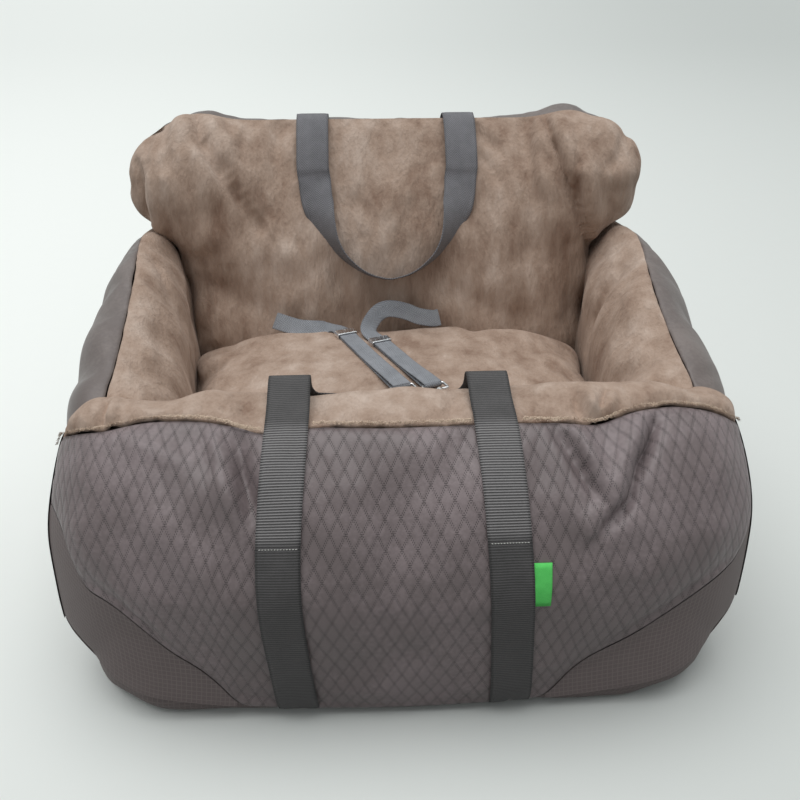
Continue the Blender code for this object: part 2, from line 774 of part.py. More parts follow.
def build_front_handle(fold, way, axis):
    """The front handle: a loop that leaves its folds level and slopes down into the cabin."""
    start = math.atan2(way.z, way.y)
    legs = []
    for x, hand in ((FRONT_LEFT_LEG, 1.0), (FRONT_RIGHT_LEG_TOP, -1.0)):
        point = Vector((x, fold.y, fold.z)) + way * FOLD_GAP
        leg = [point]
        for angle in spread(start, -FRONT_HANDLE_DROP, CORNER_SAMPLES)[1:]:
            heading = Vector((0.0, math.cos(angle), math.sin(angle)))
            point = point + heading * (FRONT_HANDLE_CURL / (CORNER_SAMPLES - 1))
            leg.append(point)
        run = FRONT_HANDLE_DEPTH - FRONT_HANDLE_CURL - FRONT_HANDLE_CORNER
        leg.append(point + heading * run)
        hub = leg[-1] + Vector((hand * FRONT_HANDLE_CORNER, 0.0, 0.0))
        for angle in spread(0.0, math.pi / 2, CORNER_SAMPLES)[1:]:
            turn = Vector((-hand * math.cos(angle), 0.0, 0.0)) + heading * math.sin(angle)
            leg.append(hub + turn * FRONT_HANDLE_CORNER)
        legs.append(leg)
    line = legs[0] + legs[1][::-1]
    out = Vector((1, 0, 0)).cross(heading)
    sides = []
    for along in tangents(line):
        level = Vector((1, 0, 0)).cross(along)
        sides.append(along.cross(out) if level.length < 0.999 else Vector((math.copysign(1.0, along.y), 0, 0)))
    part = band("front_handle", line, sides, WEBBING_WIDTH, WEBBING_THICKNESS, DARK_WEBBING)
    move_origin(part, axis)


def build_back_handle(fold, way, axis):
    """The back handle: laid over the crest, then hanging free on edge in front of the backrest."""
    tree = tree_of(BACKREST_FORM)
    pivot = (SEAT_BACK + BACK_PIVOT_DEPTH, BACK_PIVOT_HEIGHT)
    angles = spread(BACK_FOLD_ANGLE, BACK_LEAVE_ANGLE, CORNER_SAMPLES)

    def lift(angle):
        return back_lift(BACK_FOLD_ANGLE) + BACK_HANDLE_LIFT * smooth_step(-angle, -BACK_FOLD_ANGLE, -BACK_LEAVE_ANGLE)

    laid = laid_line(tree, lambda share: BACK_LEG, pivot, angles, lift, WEBBING_WIDTH, WEBBING_THICKNESS)
    half = [Vector((BACK_LEG, fold.y, fold.z)) + way * FOLD_GAP, *laid[1:]]
    turns = [0.0] * len(half)
    for place, drop, stand, turn in BACK_HANDLE_SHARES:
        x, z = BACK_LEG * place, fold.z - BACK_HANDLE_DROP * drop
        hit = tree.ray_cast(Vector((x, FRONT, z)), Vector((0, 1, 0)))[0]
        half.append(Vector((x, hit.y - BACK_HANDLE_STAND * stand, z)))
        turns.append(turn)
    right = smooth_line(half, HANDLE_STEPS)
    left = [Vector((-point.x, point.y, point.z)) for point in right]
    line = left + right[-2::-1]
    twist = [low + (high - low) * i / HANDLE_STEPS for low, high in zip(turns, turns[1:]) for i in range(HANDLE_STEPS)]
    twist = twist + [turns[-1]] + twist[::-1]
    free = Vector((0.0, -math.cos(BACK_HANDLE_TILT), math.sin(BACK_HANDLE_TILT)))
    sides = []
    for i, (along, turn) in enumerate(zip(tangents(line), twist)):
        hand = 1.0 if i < len(right) else -1.0
        laid_out = along.cross(Vector((hand, 0, 0)))
        out = laid_out.lerp(free, smooth_step(turn, 0.0, 0.5))
        angle = turn * math.pi / 2
        sides.append(out.cross(along) * math.cos(angle) + out * math.sin(angle))
    part = band("back_handle", line, sides, WEBBING_WIDTH, WEBBING_THICKNESS, GREY_WEBBING)
    move_origin(part, axis)


def frame_of(origin, along):
    """A placing matrix: X along a level heading, Z up."""
    across = Vector((0, 0, 1)).cross(along)
    rotation = Matrix((along, across, (0, 0, 1))).transposed().to_4x4()
    return Matrix.Translation(origin) @ rotation


def curve_mesh(path):
    """A curve's shape as a welded mesh."""
    holder = bpy.data.objects.new(path.name, path)
    GUIDES.objects.link(holder)
    graph = bpy.context.evaluated_depsgraph_get()
    mesh = bpy.data.meshes.new_from_object(holder.evaluated_get(graph))
    bpy.data.objects.remove(holder)
    shape = bmesh.new()
    shape.from_mesh(mesh)
    bmesh.ops.remove_doubles(shape, verts=shape.verts, dist=TOUCH / 10)
    return finish_mesh(shape, path.name)


def poly_spline(path, points, cyclic):
    """Adds a spline with straight stretches to a curve."""
    spline = path.splines.new("POLY")
    spline.points.add(len(points) - 1)
    for point, place in zip(spline.points, points):
        point.co = (*place, 1.0)
    spline.use_cyclic_u = cyclic


def wire_mesh(name, points, width, cyclic):
    """A bent wire: a curve with a round bevel and filled caps."""
    path = bpy.data.curves.new(name, "CURVE")
    path.dimensions = "3D"
    path.bevel_depth = width / 2
    path.bevel_resolution = WIRE_RESOLUTION
    path.use_fill_caps = True
    poly_spline(path, points, cyclic)
    return curve_mesh(path)


def rod_mesh(name, start, end, width):
    """A round bar between two points."""
    shape = bmesh.new()
    length = (end - start).length
    bmesh.ops.create_cone(
        shape, cap_ends=True, segments=ROUND_SIDES, radius1=width / 2, radius2=width / 2, depth=length
    )
    turn = (end - start).to_track_quat("Z", "Y").to_matrix().to_4x4()
    bmesh.ops.transform(shape, matrix=Matrix.Translation((start + end) / 2) @ turn, verts=shape.verts)
    return finish_mesh(shape, name)


def combine(target, mesh, operation):
    """Joins a helper shape to a part, or cuts the part with it."""
    helper = bpy.data.objects.new(mesh.name, mesh)
    helper.matrix_world = target.matrix_world
    helper.hide_render = True
    helper.display_type = "WIRE"
    GUIDES.objects.link(helper)
    step = target.modifiers.new(operation.title(), "BOOLEAN")
    step.operation = operation
    step.solver = "EXACT"
    step.object = helper


def rounded_outline(half_x, low_y, high_y, corner):
    """The points of a rectangle with round corners."""
    right, left = half_x - corner, corner - half_x
    top, bottom = high_y - corner, low_y + corner
    points = []
    for quarter, (x, y) in enumerate(((right, top), (left, top), (left, bottom), (right, bottom))):
        for angle in spread(quarter * math.pi / 2, (quarter + 1) * math.pi / 2, 3):
            points.append(Vector((x + corner * math.cos(angle), y + corner * math.sin(angle), 0.0)))
    return points


def build_slider(name, frame):
    """A chrome keeper round the tether's two layers, which sets its length."""
    half_x = TETHER_WIDTH / 2 + SLIDER_CLEARANCE
    half_y = TETHER_THICKNESS + TETHER_LAYER_GAP / 2 + SLIDER_CLEARANCE
    outline = bpy.data.curves.new(name, "CURVE")
    outline.dimensions = "2D"
    outline.fill_mode = "BOTH"
    outline.extrude = SLIDER_LENGTH / 2 - SLIDER_ROUND
    outline.bevel_depth = SLIDER_ROUND
    outline.bevel_resolution = 0
    for grow, corner in ((SLIDER_BAR - SLIDER_ROUND, SLIDER_BAR), (SLIDER_ROUND, SLIDER_ROUND)):
        poly_spline(outline, rounded_outline(half_x + grow, -half_y - grow, half_y + grow, corner), True)
    part = add_part(name, curve_mesh(outline), CHROME)
    part.data.transform(Matrix(((0, 0, 1, 0), (1, 0, 0, 0), (0, 1, 0, 0), (0, 0, 0, 1))))
    part.matrix_world = frame


def build_tether(side, line, sides, frame, length, straight):
    """One tether: its webbing from the gap to the hook's eye and back, and its hardware.

    The frame stands at the start of the straight stretch, with X along it and Z up.
    """
    layer = TETHER_THICKNESS + TETHER_LAYER_GAP
    turn = (EYE_BAR + TETHER_THICKNESS) / 2 + TOUCH
    across = frame.to_3x3() @ Vector((0, 1, 0))
    low, high = [], []
    for share in (0.0, 0.25, 0.5, 0.75, 1.0):
        low.append(Vector((straight * share, 0.0, 0.0)))
        high.append(Vector((straight * share, 0.0, layer)))
    for share in (0.35, 0.70, 1.0):
        x = straight + (length - straight) * share
        low.append(Vector((x, 0.0, 0.0)))
        high.append(Vector((x, 0.0, layer + (2 * turn - layer) * smooth_step(share, 0.0, 1.0))))
    high[0].x += TETHER_TAIL
    hub = Vector((length, 0.0, turn))
    bend = [
        hub + Vector((math.sin(angle), 0.0, -math.cos(angle))) * turn
        for angle in spread(0.0, math.pi, CORNER_SAMPLES + 1)[1:-1]
    ]
    doubled = [frame @ point for point in low + bend + high[::-1]]
    turned = sides + [across] * (len(doubled) - 1)
    band(f"{side}_tether", line + doubled[1:], turned, TETHER_WIDTH, TETHER_THICKNESS, TETHER_WEBBING)
    build_slider(f"{side}_slider", frame @ Matrix.Translation((SLIDER_PLACE, 0.0, layer / 2)))
    build_hook(side, frame @ Matrix.Translation(hub))


def build_hook(side, frame):
    """The swivel eye on the tether's end, the snap hook on it and the hook's gate."""
    half = TETHER_WIDTH / 2 + EYE_SIDE_GAP + EYE_BAR / 2
    loop = [Vector((point.y, point.x, 0.0)) for point in rounded_outline(half, 0.0, EYE_LENGTH, EYE_CORNER)]
    stem_end = EYE_LENGTH + STEM_LENGTH
    eye = add_part(f"{side}_hook_eye", wire_mesh("eye", loop, EYE_BAR, True), CHROME)
    eye.matrix_world = frame
    combine(eye, rod_mesh("stem", Vector((EYE_LENGTH, 0, 0)), Vector((stem_end, 0, 0)), STEM_WIDTH), "UNION")

    start = EYE_LENGTH + EYE_BAR / 2 + TOUCH
    end = start + HOOK_BARREL_LENGTH
    throat = end + HOOK_LENGTH - HOOK_HALF_WIDTH
    hook = add_part(
        f"{side}_hook", rod_mesh("barrel", Vector((start, 0, 0)), Vector((end, 0, 0)), HOOK_BARREL), CHROME
    )
    hook.matrix_world = frame
    points = [Vector((end - HOOK_WIRE, HOOK_WIRE / 2, 0)), Vector((end + HOOK_WIRE, HOOK_HALF_WIDTH, 0))]
    for angle in spread(0.0, math.pi, CORNER_SAMPLES + 2):
        points.append(Vector((throat, 0, 0)) + Vector((math.sin(angle), math.cos(angle), 0)) * HOOK_HALF_WIDTH)
    points.append(points[-1] - Vector((HOOK_TIP_LENGTH, 0, 0)))
    combine(hook, wire_mesh("bow", points, HOOK_WIRE, False), "UNION")
    bore = rod_mesh(
        "bore",
        Vector((start - OVERRUN, 0, 0)),
        Vector((stem_end + TOUCH, 0, 0)),
        STEM_WIDTH + 2 * STEM_CLEARANCE,
    )
    combine(hook, bore, "DIFFERENCE")

    hinge = Vector((end + GATE_HINGE_GAP, (GATE_WIDTH - HOOK_BARREL) / 2, 0))
    tip = Vector((throat - HOOK_TIP_LENGTH - GATE_TIP_GAP, -HOOK_HALF_WIDTH, 0))
    gate = add_part(f"{side}_hook_gate", rod_mesh("gate", Vector(), tip - hinge, GATE_WIDTH), CHROME)
    gate.matrix_world = frame @ Matrix.Translation(hinge)


def tether_frame(tree, x, y, heading, length):
    """The level straight stretch of a tether: its webbing and its slider just clear the cushion."""
    along = Vector((math.cos(heading), math.sin(heading), 0.0))
    across = Vector((-along.y, along.x, 0.0))
    base = Vector((x, y, 0.0))
    top = 0.0
    shift = (SLIDER_PLACE - SLIDER_LENGTH, SLIDER_PLACE + SLIDER_TRAVEL + SLIDER_LENGTH)
    for reach in spread(-EYE_LENGTH, length + EYE_LENGTH, STRAP_SAMPLES):
        under = SLIDER_BAR + SLIDER_CLEARANCE if shift[0] < reach < shift[1] else 0.0
        for share in (-0.5, 0.0, 0.5):
            place = base + along * reach + across * (share * TETHER_WIDTH)
            hit = tree.ray_cast(Vector((place.x, place.y, WIDTH)), Vector((0, 0, -1)))[0]
            if hit is not None:
                top = max(top, hit.z + under)
    base.z = top + TOUCH + TETHER_THICKNESS / 2
    return frame_of(base, along)


def run_of_tether(frame, gap_x, rise, tilt, run_shares, twist_shares):
    """A tether's way from the gap to its straight stretch, and the direction of its width."""
    origin = frame.translation
    across = frame.to_3x3() @ Vector((0, 1, 0))
    reach = Vector((gap_x - origin.x, SEAT_BACK - TETHER_GAP_INSET - origin.y, rise))
    points = [origin + Vector((reach.x * x, reach.y * y, reach.z * z)) for x, y, z in run_shares]
    line = smooth_line([*points, origin], HANDLE_STEPS)
    last = len(line) - 1
    facing = Vector((0.0, math.cos(tilt), math.sin(tilt)))
    sides = [facing.lerp(across, smooth_step(i / last, *twist_shares)) for i in range(len(line))]
    return line, sides


def build_tethers():
    """The left tether lies along the backrest's foot; the right one stands up in an arch."""
    tree = tree_of(CUSHION_FORM)
    place = SEAT_BACK - LEFT_TETHER_SETBACK
    length = (place - RIM_BACK - LEFT_TETHER_SHORT) / -math.sin(LEFT_TETHER_HEADING)
    frame = tether_frame(tree, LEFT_TETHER_X, place, LEFT_TETHER_HEADING, length)
    line, sides = run_of_tether(frame, LEFT_GAP_X, LEFT_RISE, LEFT_TILT, LEFT_RUN_SHARES, LEFT_TWIST_SHARES)
    build_tether("left", line, sides, frame, length, length * LEFT_STRAIGHT_SHARE)
    place = SEAT_BACK - RIGHT_TETHER_SETBACK
    length = (place - RIM_BACK - RIGHT_TETHER_SHORT) / -math.sin(RIGHT_TETHER_HEADING)
    frame = tether_frame(tree, RIGHT_TETHER_X, place, RIGHT_TETHER_HEADING, length)
    line, sides = run_of_tether(frame, RIGHT_GAP_X, RIGHT_RISE, RIGHT_TILT, RIGHT_RUN_SHARES, RIGHT_TWIST_SHARES)
    build_tether("right", line, sides, frame, length, length * RIGHT_STRAIGHT_SHARE)


def build_zip():
    """The zip low on the back panel: tape, chain, slider and pull."""
    tree = tree_of(BACKREST_FORM)
    half = ZIP_LENGTH / 2
    low, high = ZIP_LEVEL - ZIP_TAPE_HEIGHT / 2, ZIP_LEVEL + ZIP_TAPE_HEIGHT / 2
    reach = 0.0
    for x in spread(-half, half, STRAP_SAMPLES):
        for z in (low, high):
            reach = max(reach, tree.ray_cast(Vector((x, DEPTH, z)), Vector((0, -1, 0)))[0].y)
    tape_back = reach + TOUCH
    tape_face = tape_back + ZIP_TAPE_THICKNESS
    box("zip_tape", (-half, tape_back, low), (half, tape_face, high), ZIP_CLOTH)
    chain_low, chain_high = ZIP_LEVEL - ZIP_CHAIN_HEIGHT / 2, ZIP_LEVEL + ZIP_CHAIN_HEIGHT / 2
    chain_back = tape_face + TOUCH
    chain_face = chain_back + ZIP_CHAIN_PROUD
    end = half - ZIP_TAPE_HEIGHT / 4
    box("zip_chain", (-end, chain_back, chain_low), (end, chain_face, chain_high), ZIP_TEETH)
    start = end - ZIP_SLIDER_LENGTH
    slider_low, slider_high = ZIP_LEVEL - ZIP_SLIDER_HEIGHT / 2, ZIP_LEVEL + ZIP_SLIDER_HEIGHT / 2
    slider_back = chain_face + TOUCH
    slider_face = slider_back + ZIP_SLIDER_DEPTH
    slider = box(
        "zip_slider",
        (start, slider_back, slider_low),
        (end, slider_face, slider_high),
        CHROME,
        ZIP_PULL_THICKNESS / 2,
        2,
    )
    middle = (start + end) / 2
    move_origin(slider, Vector((middle, slider_back, ZIP_LEVEL)))
    pull_back = slider_face + TOUCH
    pull_face = pull_back + ZIP_PULL_THICKNESS
    pull = box(
        "zip_pull",
        (middle - ZIP_PULL_WIDTH / 2, pull_back, slider_high - ZIP_PULL_LENGTH),
        (middle + ZIP_PULL_WIDTH / 2, pull_face, slider_high),
        CHROME,
        ZIP_PULL_THICKNESS / 3,
    )
    move_origin(pull, Vector((middle, (pull_back + pull_face) / 2, slider_high - ZIP_PULL_THICKNESS / 2)))


def clear_scene():
    """Removes the scene's objects."""
    for found in list(bpy.data.objects):
        bpy.data.objects.remove(found)


clear_scene()
PARTS = make_collection("Dog car seat")
GUIDES = make_collection("Guides", hidden=True)
LEATHERETTE = make_material("Leatherette", (0.150, 0.118, 0.112), 0.55)
PLUSH_FABRIC = make_material("Plush", (0.330, 0.245, 0.190), 0.95)
RIPSTOP = make_material("Ripstop", (0.135, 0.112, 0.104), 0.70)
FOAM = make_material("Foam", (0.780, 0.740, 0.640), 0.95)
FIBRE = make_material("Fibre fill", (0.860, 0.850, 0.820), 0.98)
DARK_WEBBING = make_material("Dark webbing", (0.070, 0.070, 0.062), 0.75)
GREY_WEBBING = make_material("Grey webbing", (0.150, 0.150, 0.165), 0.75)
TETHER_WEBBING = make_material("Tether webbing", (0.190, 0.205, 0.240), 0.70)
TAG_CLOTH = make_material("Tag cloth", (0.110, 0.730, 0.140), 0.80)
ZIP_CLOTH = make_material("Zip tape", (0.050, 0.045, 0.042), 0.85)
ZIP_TEETH = make_material("Zip teeth", (0.040, 0.036, 0.034), 0.45)
CHROME = make_material("Chrome", (0.780, 0.780, 0.790), 0.18, 1.0)

build_base()
FRONT_FORM = build_front_bolster()
build_side_bolster(1)
build_side_bolster(-1)
CUSHION_FORM = build_cushion()
BACKREST_FORM = build_backrest()
build_front_handle(*build_front_straps())
build_back_handle(*build_back_straps())
build_tethers()
build_zip()
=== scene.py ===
"""A dog car seat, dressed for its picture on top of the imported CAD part.

Every cover is a net of points that follows the part's own sections, with folds taken from where
they lie in the picture. Lengths are in metres and Z is up.
"""

import logging
import math
from collections.abc import Callable
from dataclasses import dataclass, field
from enum import Enum

import bpy
import numpy as np
from mathutils import Matrix, Vector
from mathutils.bvhtree import BVHTree


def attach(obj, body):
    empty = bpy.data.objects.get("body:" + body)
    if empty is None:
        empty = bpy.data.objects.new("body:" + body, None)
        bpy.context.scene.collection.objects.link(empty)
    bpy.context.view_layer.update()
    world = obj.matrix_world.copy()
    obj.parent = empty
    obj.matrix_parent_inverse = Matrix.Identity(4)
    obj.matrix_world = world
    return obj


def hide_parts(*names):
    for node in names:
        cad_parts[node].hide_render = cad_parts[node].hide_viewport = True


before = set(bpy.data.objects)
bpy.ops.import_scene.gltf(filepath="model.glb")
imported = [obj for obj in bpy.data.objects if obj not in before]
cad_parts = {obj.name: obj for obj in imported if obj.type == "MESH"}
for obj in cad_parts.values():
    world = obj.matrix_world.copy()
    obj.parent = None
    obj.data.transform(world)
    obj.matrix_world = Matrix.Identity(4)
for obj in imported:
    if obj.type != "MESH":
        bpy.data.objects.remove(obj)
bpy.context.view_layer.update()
LOG = logging.getLogger("car seat")

# The part's own main sizes
FRONT = -0.303
BACK = 0.3012
HALF = 0.3275
SEATING = 0.0753
TRAY_FRONT = -0.260
RIM_BACK = -0.138
RIM_HEIGHT = 0.293
SEAT_BACK = 0.108
CUSHION_FLOOR = 0.1516
CABIN_FRONT = 0.214
CABIN_BACK = 0.262
TOUCH = 0.0003

# How the covers are smoothed, closed and blown up as cloth
SUBDIVISIONS = 3
CLOSING_TURNS = (1.0, 0.94, 0.8, 0.6, 0.4, 0.2, 0.001)
CLOTH_QUALITY = 4
CLOTH_MASS = 0.25
CLOTH_STIFFNESS = 12.0
CLOTH_BENDING = 0.4
CLOTH_STEPS = 20
LEAST_MOVE = 0.4
TINY = 1e-9
FOLD_GAIN = 1.5
FOLD_NARROWING = 0.86

Net = np.ndarray
Picture = tuple[tuple[float, float], ...]


def tone(red: float, green: float, blue: float) -> tuple[float, float, float, float]:
    """A colour as read off a screen, in the shader's linear scale.

    Args:
        red: red from 0 to 255.
        green: green from 0 to 255.
        blue: blue from 0 to 255.

    Returns:
        The linear colour with full alpha.
    """
    shares = [value / 255 for value in (red, green, blue)]
    linear = [s / 12.92 if s <= 0.04045 else ((s + 0.055) / 1.055) ** 2.4 for s in shares]
    return (*linear, 1.0)


# ---------------------------------------------------------------- the camera and the picture


@dataclass(frozen=True)
class Viewpoint:
    """Where the picture was taken from."""

    eye: tuple[float, float, float] = (-0.042, -0.950, 0.681)
    yaw: float = math.radians(-2.9)
    down: float = math.radians(27.5)
    picture_size: float = 800.0
    focal_pixels: float = 950.0
    sensor: float = 36.0

    def look(self) -> Vector:
        """The direction the camera looks in."""
        level = math.cos(self.down)
        return Vector((-math.sin(self.yaw) * level, math.cos(self.yaw) * level, -math.sin(self.down)))

    def pictured(self, points: Net) -> Net:
        """Where points land in the picture.

        Args:
            points: places in the scene, with x, y and z last.

        Returns:
            Their picture coordinates, x to the right and y down.
        """
        turn = np.array(self.look().to_track_quat("-Z", "Y").to_matrix())
        away = points - np.array(self.eye)
        right, up, back = (away @ turn[:, k] for k in range(3))
        middle = self.picture_size / 2
        across = middle - self.focal_pixels * right / back
        down = middle + self.focal_pixels * up / back
        return np.stack((across, down), axis=-1)

    def facing(self, points: Net, normals: Net) -> Net:
        """How squarely each point of a surface faces the camera, from 0 to 1."""
        away = np.array(self.eye) - points
        away /= np.linalg.norm(away, axis=-1, keepdims=True)
        return np.clip(np.sum(away * normals, axis=-1) * 2.5, 0.0, 1.0)

    def place_camera(self) -> None:
        """Puts the camera there and makes it the scene's camera."""
        camera = bpy.data.objects.new("camera", bpy.data.cameras.new("camera"))
        camera.data.sensor_width = self.sensor
        camera.data.lens = self.focal_pixels / self.picture_size * self.sensor
        turn = self.look().to_track_quat("-Z", "Y").to_matrix().to_4x4()
        camera.matrix_world = Matrix.Translation(self.eye) @ turn
        bpy.context.scene.collection.objects.link(camera)
        bpy.context.scene.camera = camera


VIEWPOINT = Viewpoint()


# ---------------------------------------------------------------- shader building


class Signal:
    """A node's output that takes part in sums like a number."""

    def __init__(self, board: "Board", socket: bpy.types.NodeSocket | None) -> None:
        """Wraps a socket of a board."""
        self.board = board
        self.socket = socket

    def calculate(self, operation: str, *values: "Signal | float") -> "Signal":
        """A Math node's result for these values."""
        return self.board.make("ShaderNodeMath", {"operation": operation}, dict(enumerate(values)))

    def __add__(self, other: "Signal | float") -> "Signal":
        return self.calculate("ADD", self, other)

    def __radd__(self, other: "Signal | float") -> "Signal":
        return self.calculate("ADD", other, self)

    def __sub__(self, other: "Signal | float") -> "Signal":
        return self.calculate("SUBTRACT", self, other)

    def __rsub__(self, other: "Signal | float") -> "Signal":
        return self.calculate("SUBTRACT", other, self)

    def __mul__(self, other: "Signal | float") -> "Signal":
        return self.calculate("MULTIPLY", self, other)

    def __rmul__(self, other: "Signal | float") -> "Signal":
        return self.calculate("MULTIPLY", other, self)

    def __truediv__(self, other: "Signal | float") -> "Signal":
        return self.calculate("DIVIDE", self, other)

    def __pow__(self, other: "Signal | float") -> "Signal":
        return self.calculate("POWER", self, other)

    def least(self, other: "Signal | float") -> "Signal":
        """The smaller of the two."""
        return self.calculate("MINIMUM", self, other)

    def most(self, other: "Signal | float") -> "Signal":
        """The larger of the two."""
        return self.calculate("MAXIMUM", self, other)

    def off_whole(self) -> "Signal":
        """How far the value is from the nearest whole number, 0 to 0.5."""
        share = self.calculate("FRACT", self + 0.5)
        return self.calculate("ABSOLUTE", share - 0.5)

    def wave(self) -> "Signal":
        """A sine wave with one crest for each step of 1, between 0 and 1."""
        return self.calculate("SINE", self * math.tau) * 0.5 + 0.5

    def ramp(self, low: float, high: float, first: float = 0.0, last: float = 1.0) -> "Signal":
        """A smooth change from first to last while the value goes from low to high."""
        settings = {"interpolation_type": "SMOOTHSTEP"}
        values = {"Value": self, "From Min": low, "From Max": high, "To Min": first, "To Max": last}
        return self.board.make("ShaderNodeMapRange", settings, values)


class Board:
    """The node tree of one material or of the world."""

    def __init__(self, name: str, world: bool = False) -> None:
        """Starts an empty material or world."""
        self.owner = (bpy.data.worlds if world else bpy.data.materials).new(name)
        self.owner.use_nodes = True
        self.tree = self.owner.node_tree
        self.tree.nodes.clear()

    def make(
        self,
        kind: str,
        settings: dict[str, object] | None = None,
        values: dict[str | int, object] | None = None,
        output: str | int = 0,
    ) -> Signal:
        """Makes any node.

        Args:
            kind: the node's type.
            settings: its own settings, which are set first.
            values: numbers, colours or signals for its sockets, by name or place.
            output: the output that is handed back.

        Returns:
            The output as a signal.
        """
        node = self.tree.nodes.new(kind)
        for key, value in (settings or {}).items():
            setattr(node, key, value)
        for key, value in (values or {}).items():
            if isinstance(value, Signal):
                self.tree.links.new(value.socket, node.inputs[key])
            else:
                node.inputs[key].default_value = value
        return Signal(self, node.outputs[output] if node.outputs else None)

    def mix(self, share: Signal | float, first: object, second: object) -> Signal:
        """A colour between two colours."""
        values = {"Factor": share, 6: first, 7: second}
        return self.make("ShaderNodeMix", {"data_type": "RGBA"}, values, 2)

    def noise(
        self, scale: float, detail: float = 2.0, place: Signal | None = None, **more: float
    ) -> Signal:
        """A noise field between 0 and 1 over the object's own coordinates or another place."""
        values: dict[str | int, object] = {"Scale": scale, "Detail": detail}
        values["Vector"] = self.place() if place is None else place
        values.update({key.replace("_", " ").title(): value for key, value in more.items()})
        return self.make("ShaderNodeTexNoise", None, values)

    def place(self) -> Signal:
        """The object's own coordinates."""
        return self.make("ShaderNodeTexCoord", None, None, "Object")

    def stretched(self, place: Signal, scale: tuple[float, float, float], turn: float = 0.0) -> Signal:
        """Coordinates turned round Y and stretched, for streaks."""
        values = {"Vector": place, "Rotation": (0.0, turn, turn * 0.4), "Scale": scale}
        return self.make("ShaderNodeMapping", None, values)

    def flat_place(self) -> tuple[Signal, Signal]:
        """The two lengths along the cloth, in metres."""
        spot = self.make("ShaderNodeUVMap", {"uv_map": "cloth"})
        apart = self.make("ShaderNodeSeparateXYZ", None, {0: spot})
        return apart, Signal(self, apart.socket.node.outputs[1])

    def woven(self, pitch: float) -> Signal:
        """Threads that go over and under each other."""
        across, along = self.flat_place()
        warp = (across * (1 / pitch)).wave()
        weft = (along * (1 / pitch)).wave()
        return (warp * (1.0 - weft)).most(weft * (1.0 - warp))

    def bump(
        self, height: Signal, distance: float, strength: float = 1.0, under: Signal | None = None
    ) -> Signal:
        """A relief of a height field, on top of another one if given."""
        values: dict[str | int, object] = {"Height": height, "Distance": distance, "Strength": strength}
        if under is not None:
            values["Normal"] = under
        return self.make("ShaderNodeBump", None, values)

    def seen(self) -> Signal:
        """One for rays that show the backdrop, and zero for those that only light the object."""
        rays = ("Is Camera Ray", "Is Glossy Ray", "Is Transmission Ray")
        camera, glossy, through = (self.make("ShaderNodeLightPath", None, None, ray) for ray in rays)
        return camera.most(glossy).most(through)

    def finish(self, values: dict[str | int, object]) -> bpy.types.Material:
        """Closes the material with one Principled shader."""
        shader = self.make("ShaderNodeBsdfPrincipled", None, values)
        self.make("ShaderNodeOutputMaterial", None, {"Surface": shader})
        return self.owner


@dataclass(frozen=True)
class Plush:
    """Brushed short-pile plush."""

    name: str = "plush"
    dark: tuple[float, float, float] = (135, 110, 94)
    middle: tuple[float, float, float] = (173, 151, 135)
    light: tuple[float, float, float] = (202, 184, 170)
    turn: float = 0.5
    swept_scale: tuple[float, float, float] = (44.0, 34.0, 11.0)
    crossed_scale: tuple[float, float, float] = (70.0, 56.0, 18.0)
    hair_scale: tuple[float, float, float] = (340.0, 260.0, 90.0)
    pile_scale: tuple[float, float, float] = (1500.0, 1500.0, 700.0)
    lock_depth: float = 0.0095
    pile_depth: float = 0.0005

    def make(self) -> bpy.types.Material:
        """The material, with brushed streaks and fine pile."""
        board = Board(self.name)
        place = board.place()
        patches = board.noise(7.0, 3.0, place, roughness=0.5)
        locks = board.stretched(place, self.swept_scale, self.turn)
        swept = board.noise(1.0, 3.0, locks, roughness=0.55)
        across = board.stretched(place, self.crossed_scale, -self.turn * 0.8)
        crossed = board.noise(1.0, 2.0, across)
        hairs = board.stretched(place, self.hair_scale, self.turn)
        streaks = board.noise(1.0, 3.0, hairs, roughness=0.6)
        pile = board.noise(1.0, 2.0, board.stretched(place, self.pile_scale, self.turn))
        brushed = patches * 0.36 + swept * 0.42 + crossed * 0.14 + streaks * 0.08
        low = brushed.ramp(0.32, 0.52)
        high = brushed.ramp(0.47, 0.69)
        colour = board.mix(high, board.mix(low, tone(*self.dark), tone(*self.middle)), tone(*self.light))
        fine = (pile * 0.6 + streaks * 0.4).ramp(0.25, 0.75, 0.94, 1.05)
        grey = board.make("ShaderNodeCombineColor", None, {0: fine, 1: fine, 2: fine})
        settings = {"data_type": "RGBA", "blend_type": "MULTIPLY"}
        colour = board.make("ShaderNodeMix", settings, {"Factor": 1.0, 6: colour, 7: grey}, 2)
        height = swept * 0.6 + streaks * 0.22 + crossed * 0.45
        relief = board.bump(height, self.lock_depth, 0.75)
        relief = board.bump(pile, self.pile_depth, 0.45, relief)
        values = {
            "Base Color": colour,
            "Roughness": 0.95,
            "Specular IOR Level": 0.12,
            "Sheen Weight": 0.34,
            "Sheen Roughness": 0.55,
            "Sheen Tint": tone(215, 200, 188),
            "Normal": relief,
        }
        return board.finish(values)


class Pattern(Enum):
    """What is pressed into the leatherette."""

    PLAIN = "plain"
    DIAMONDS = "diamonds"


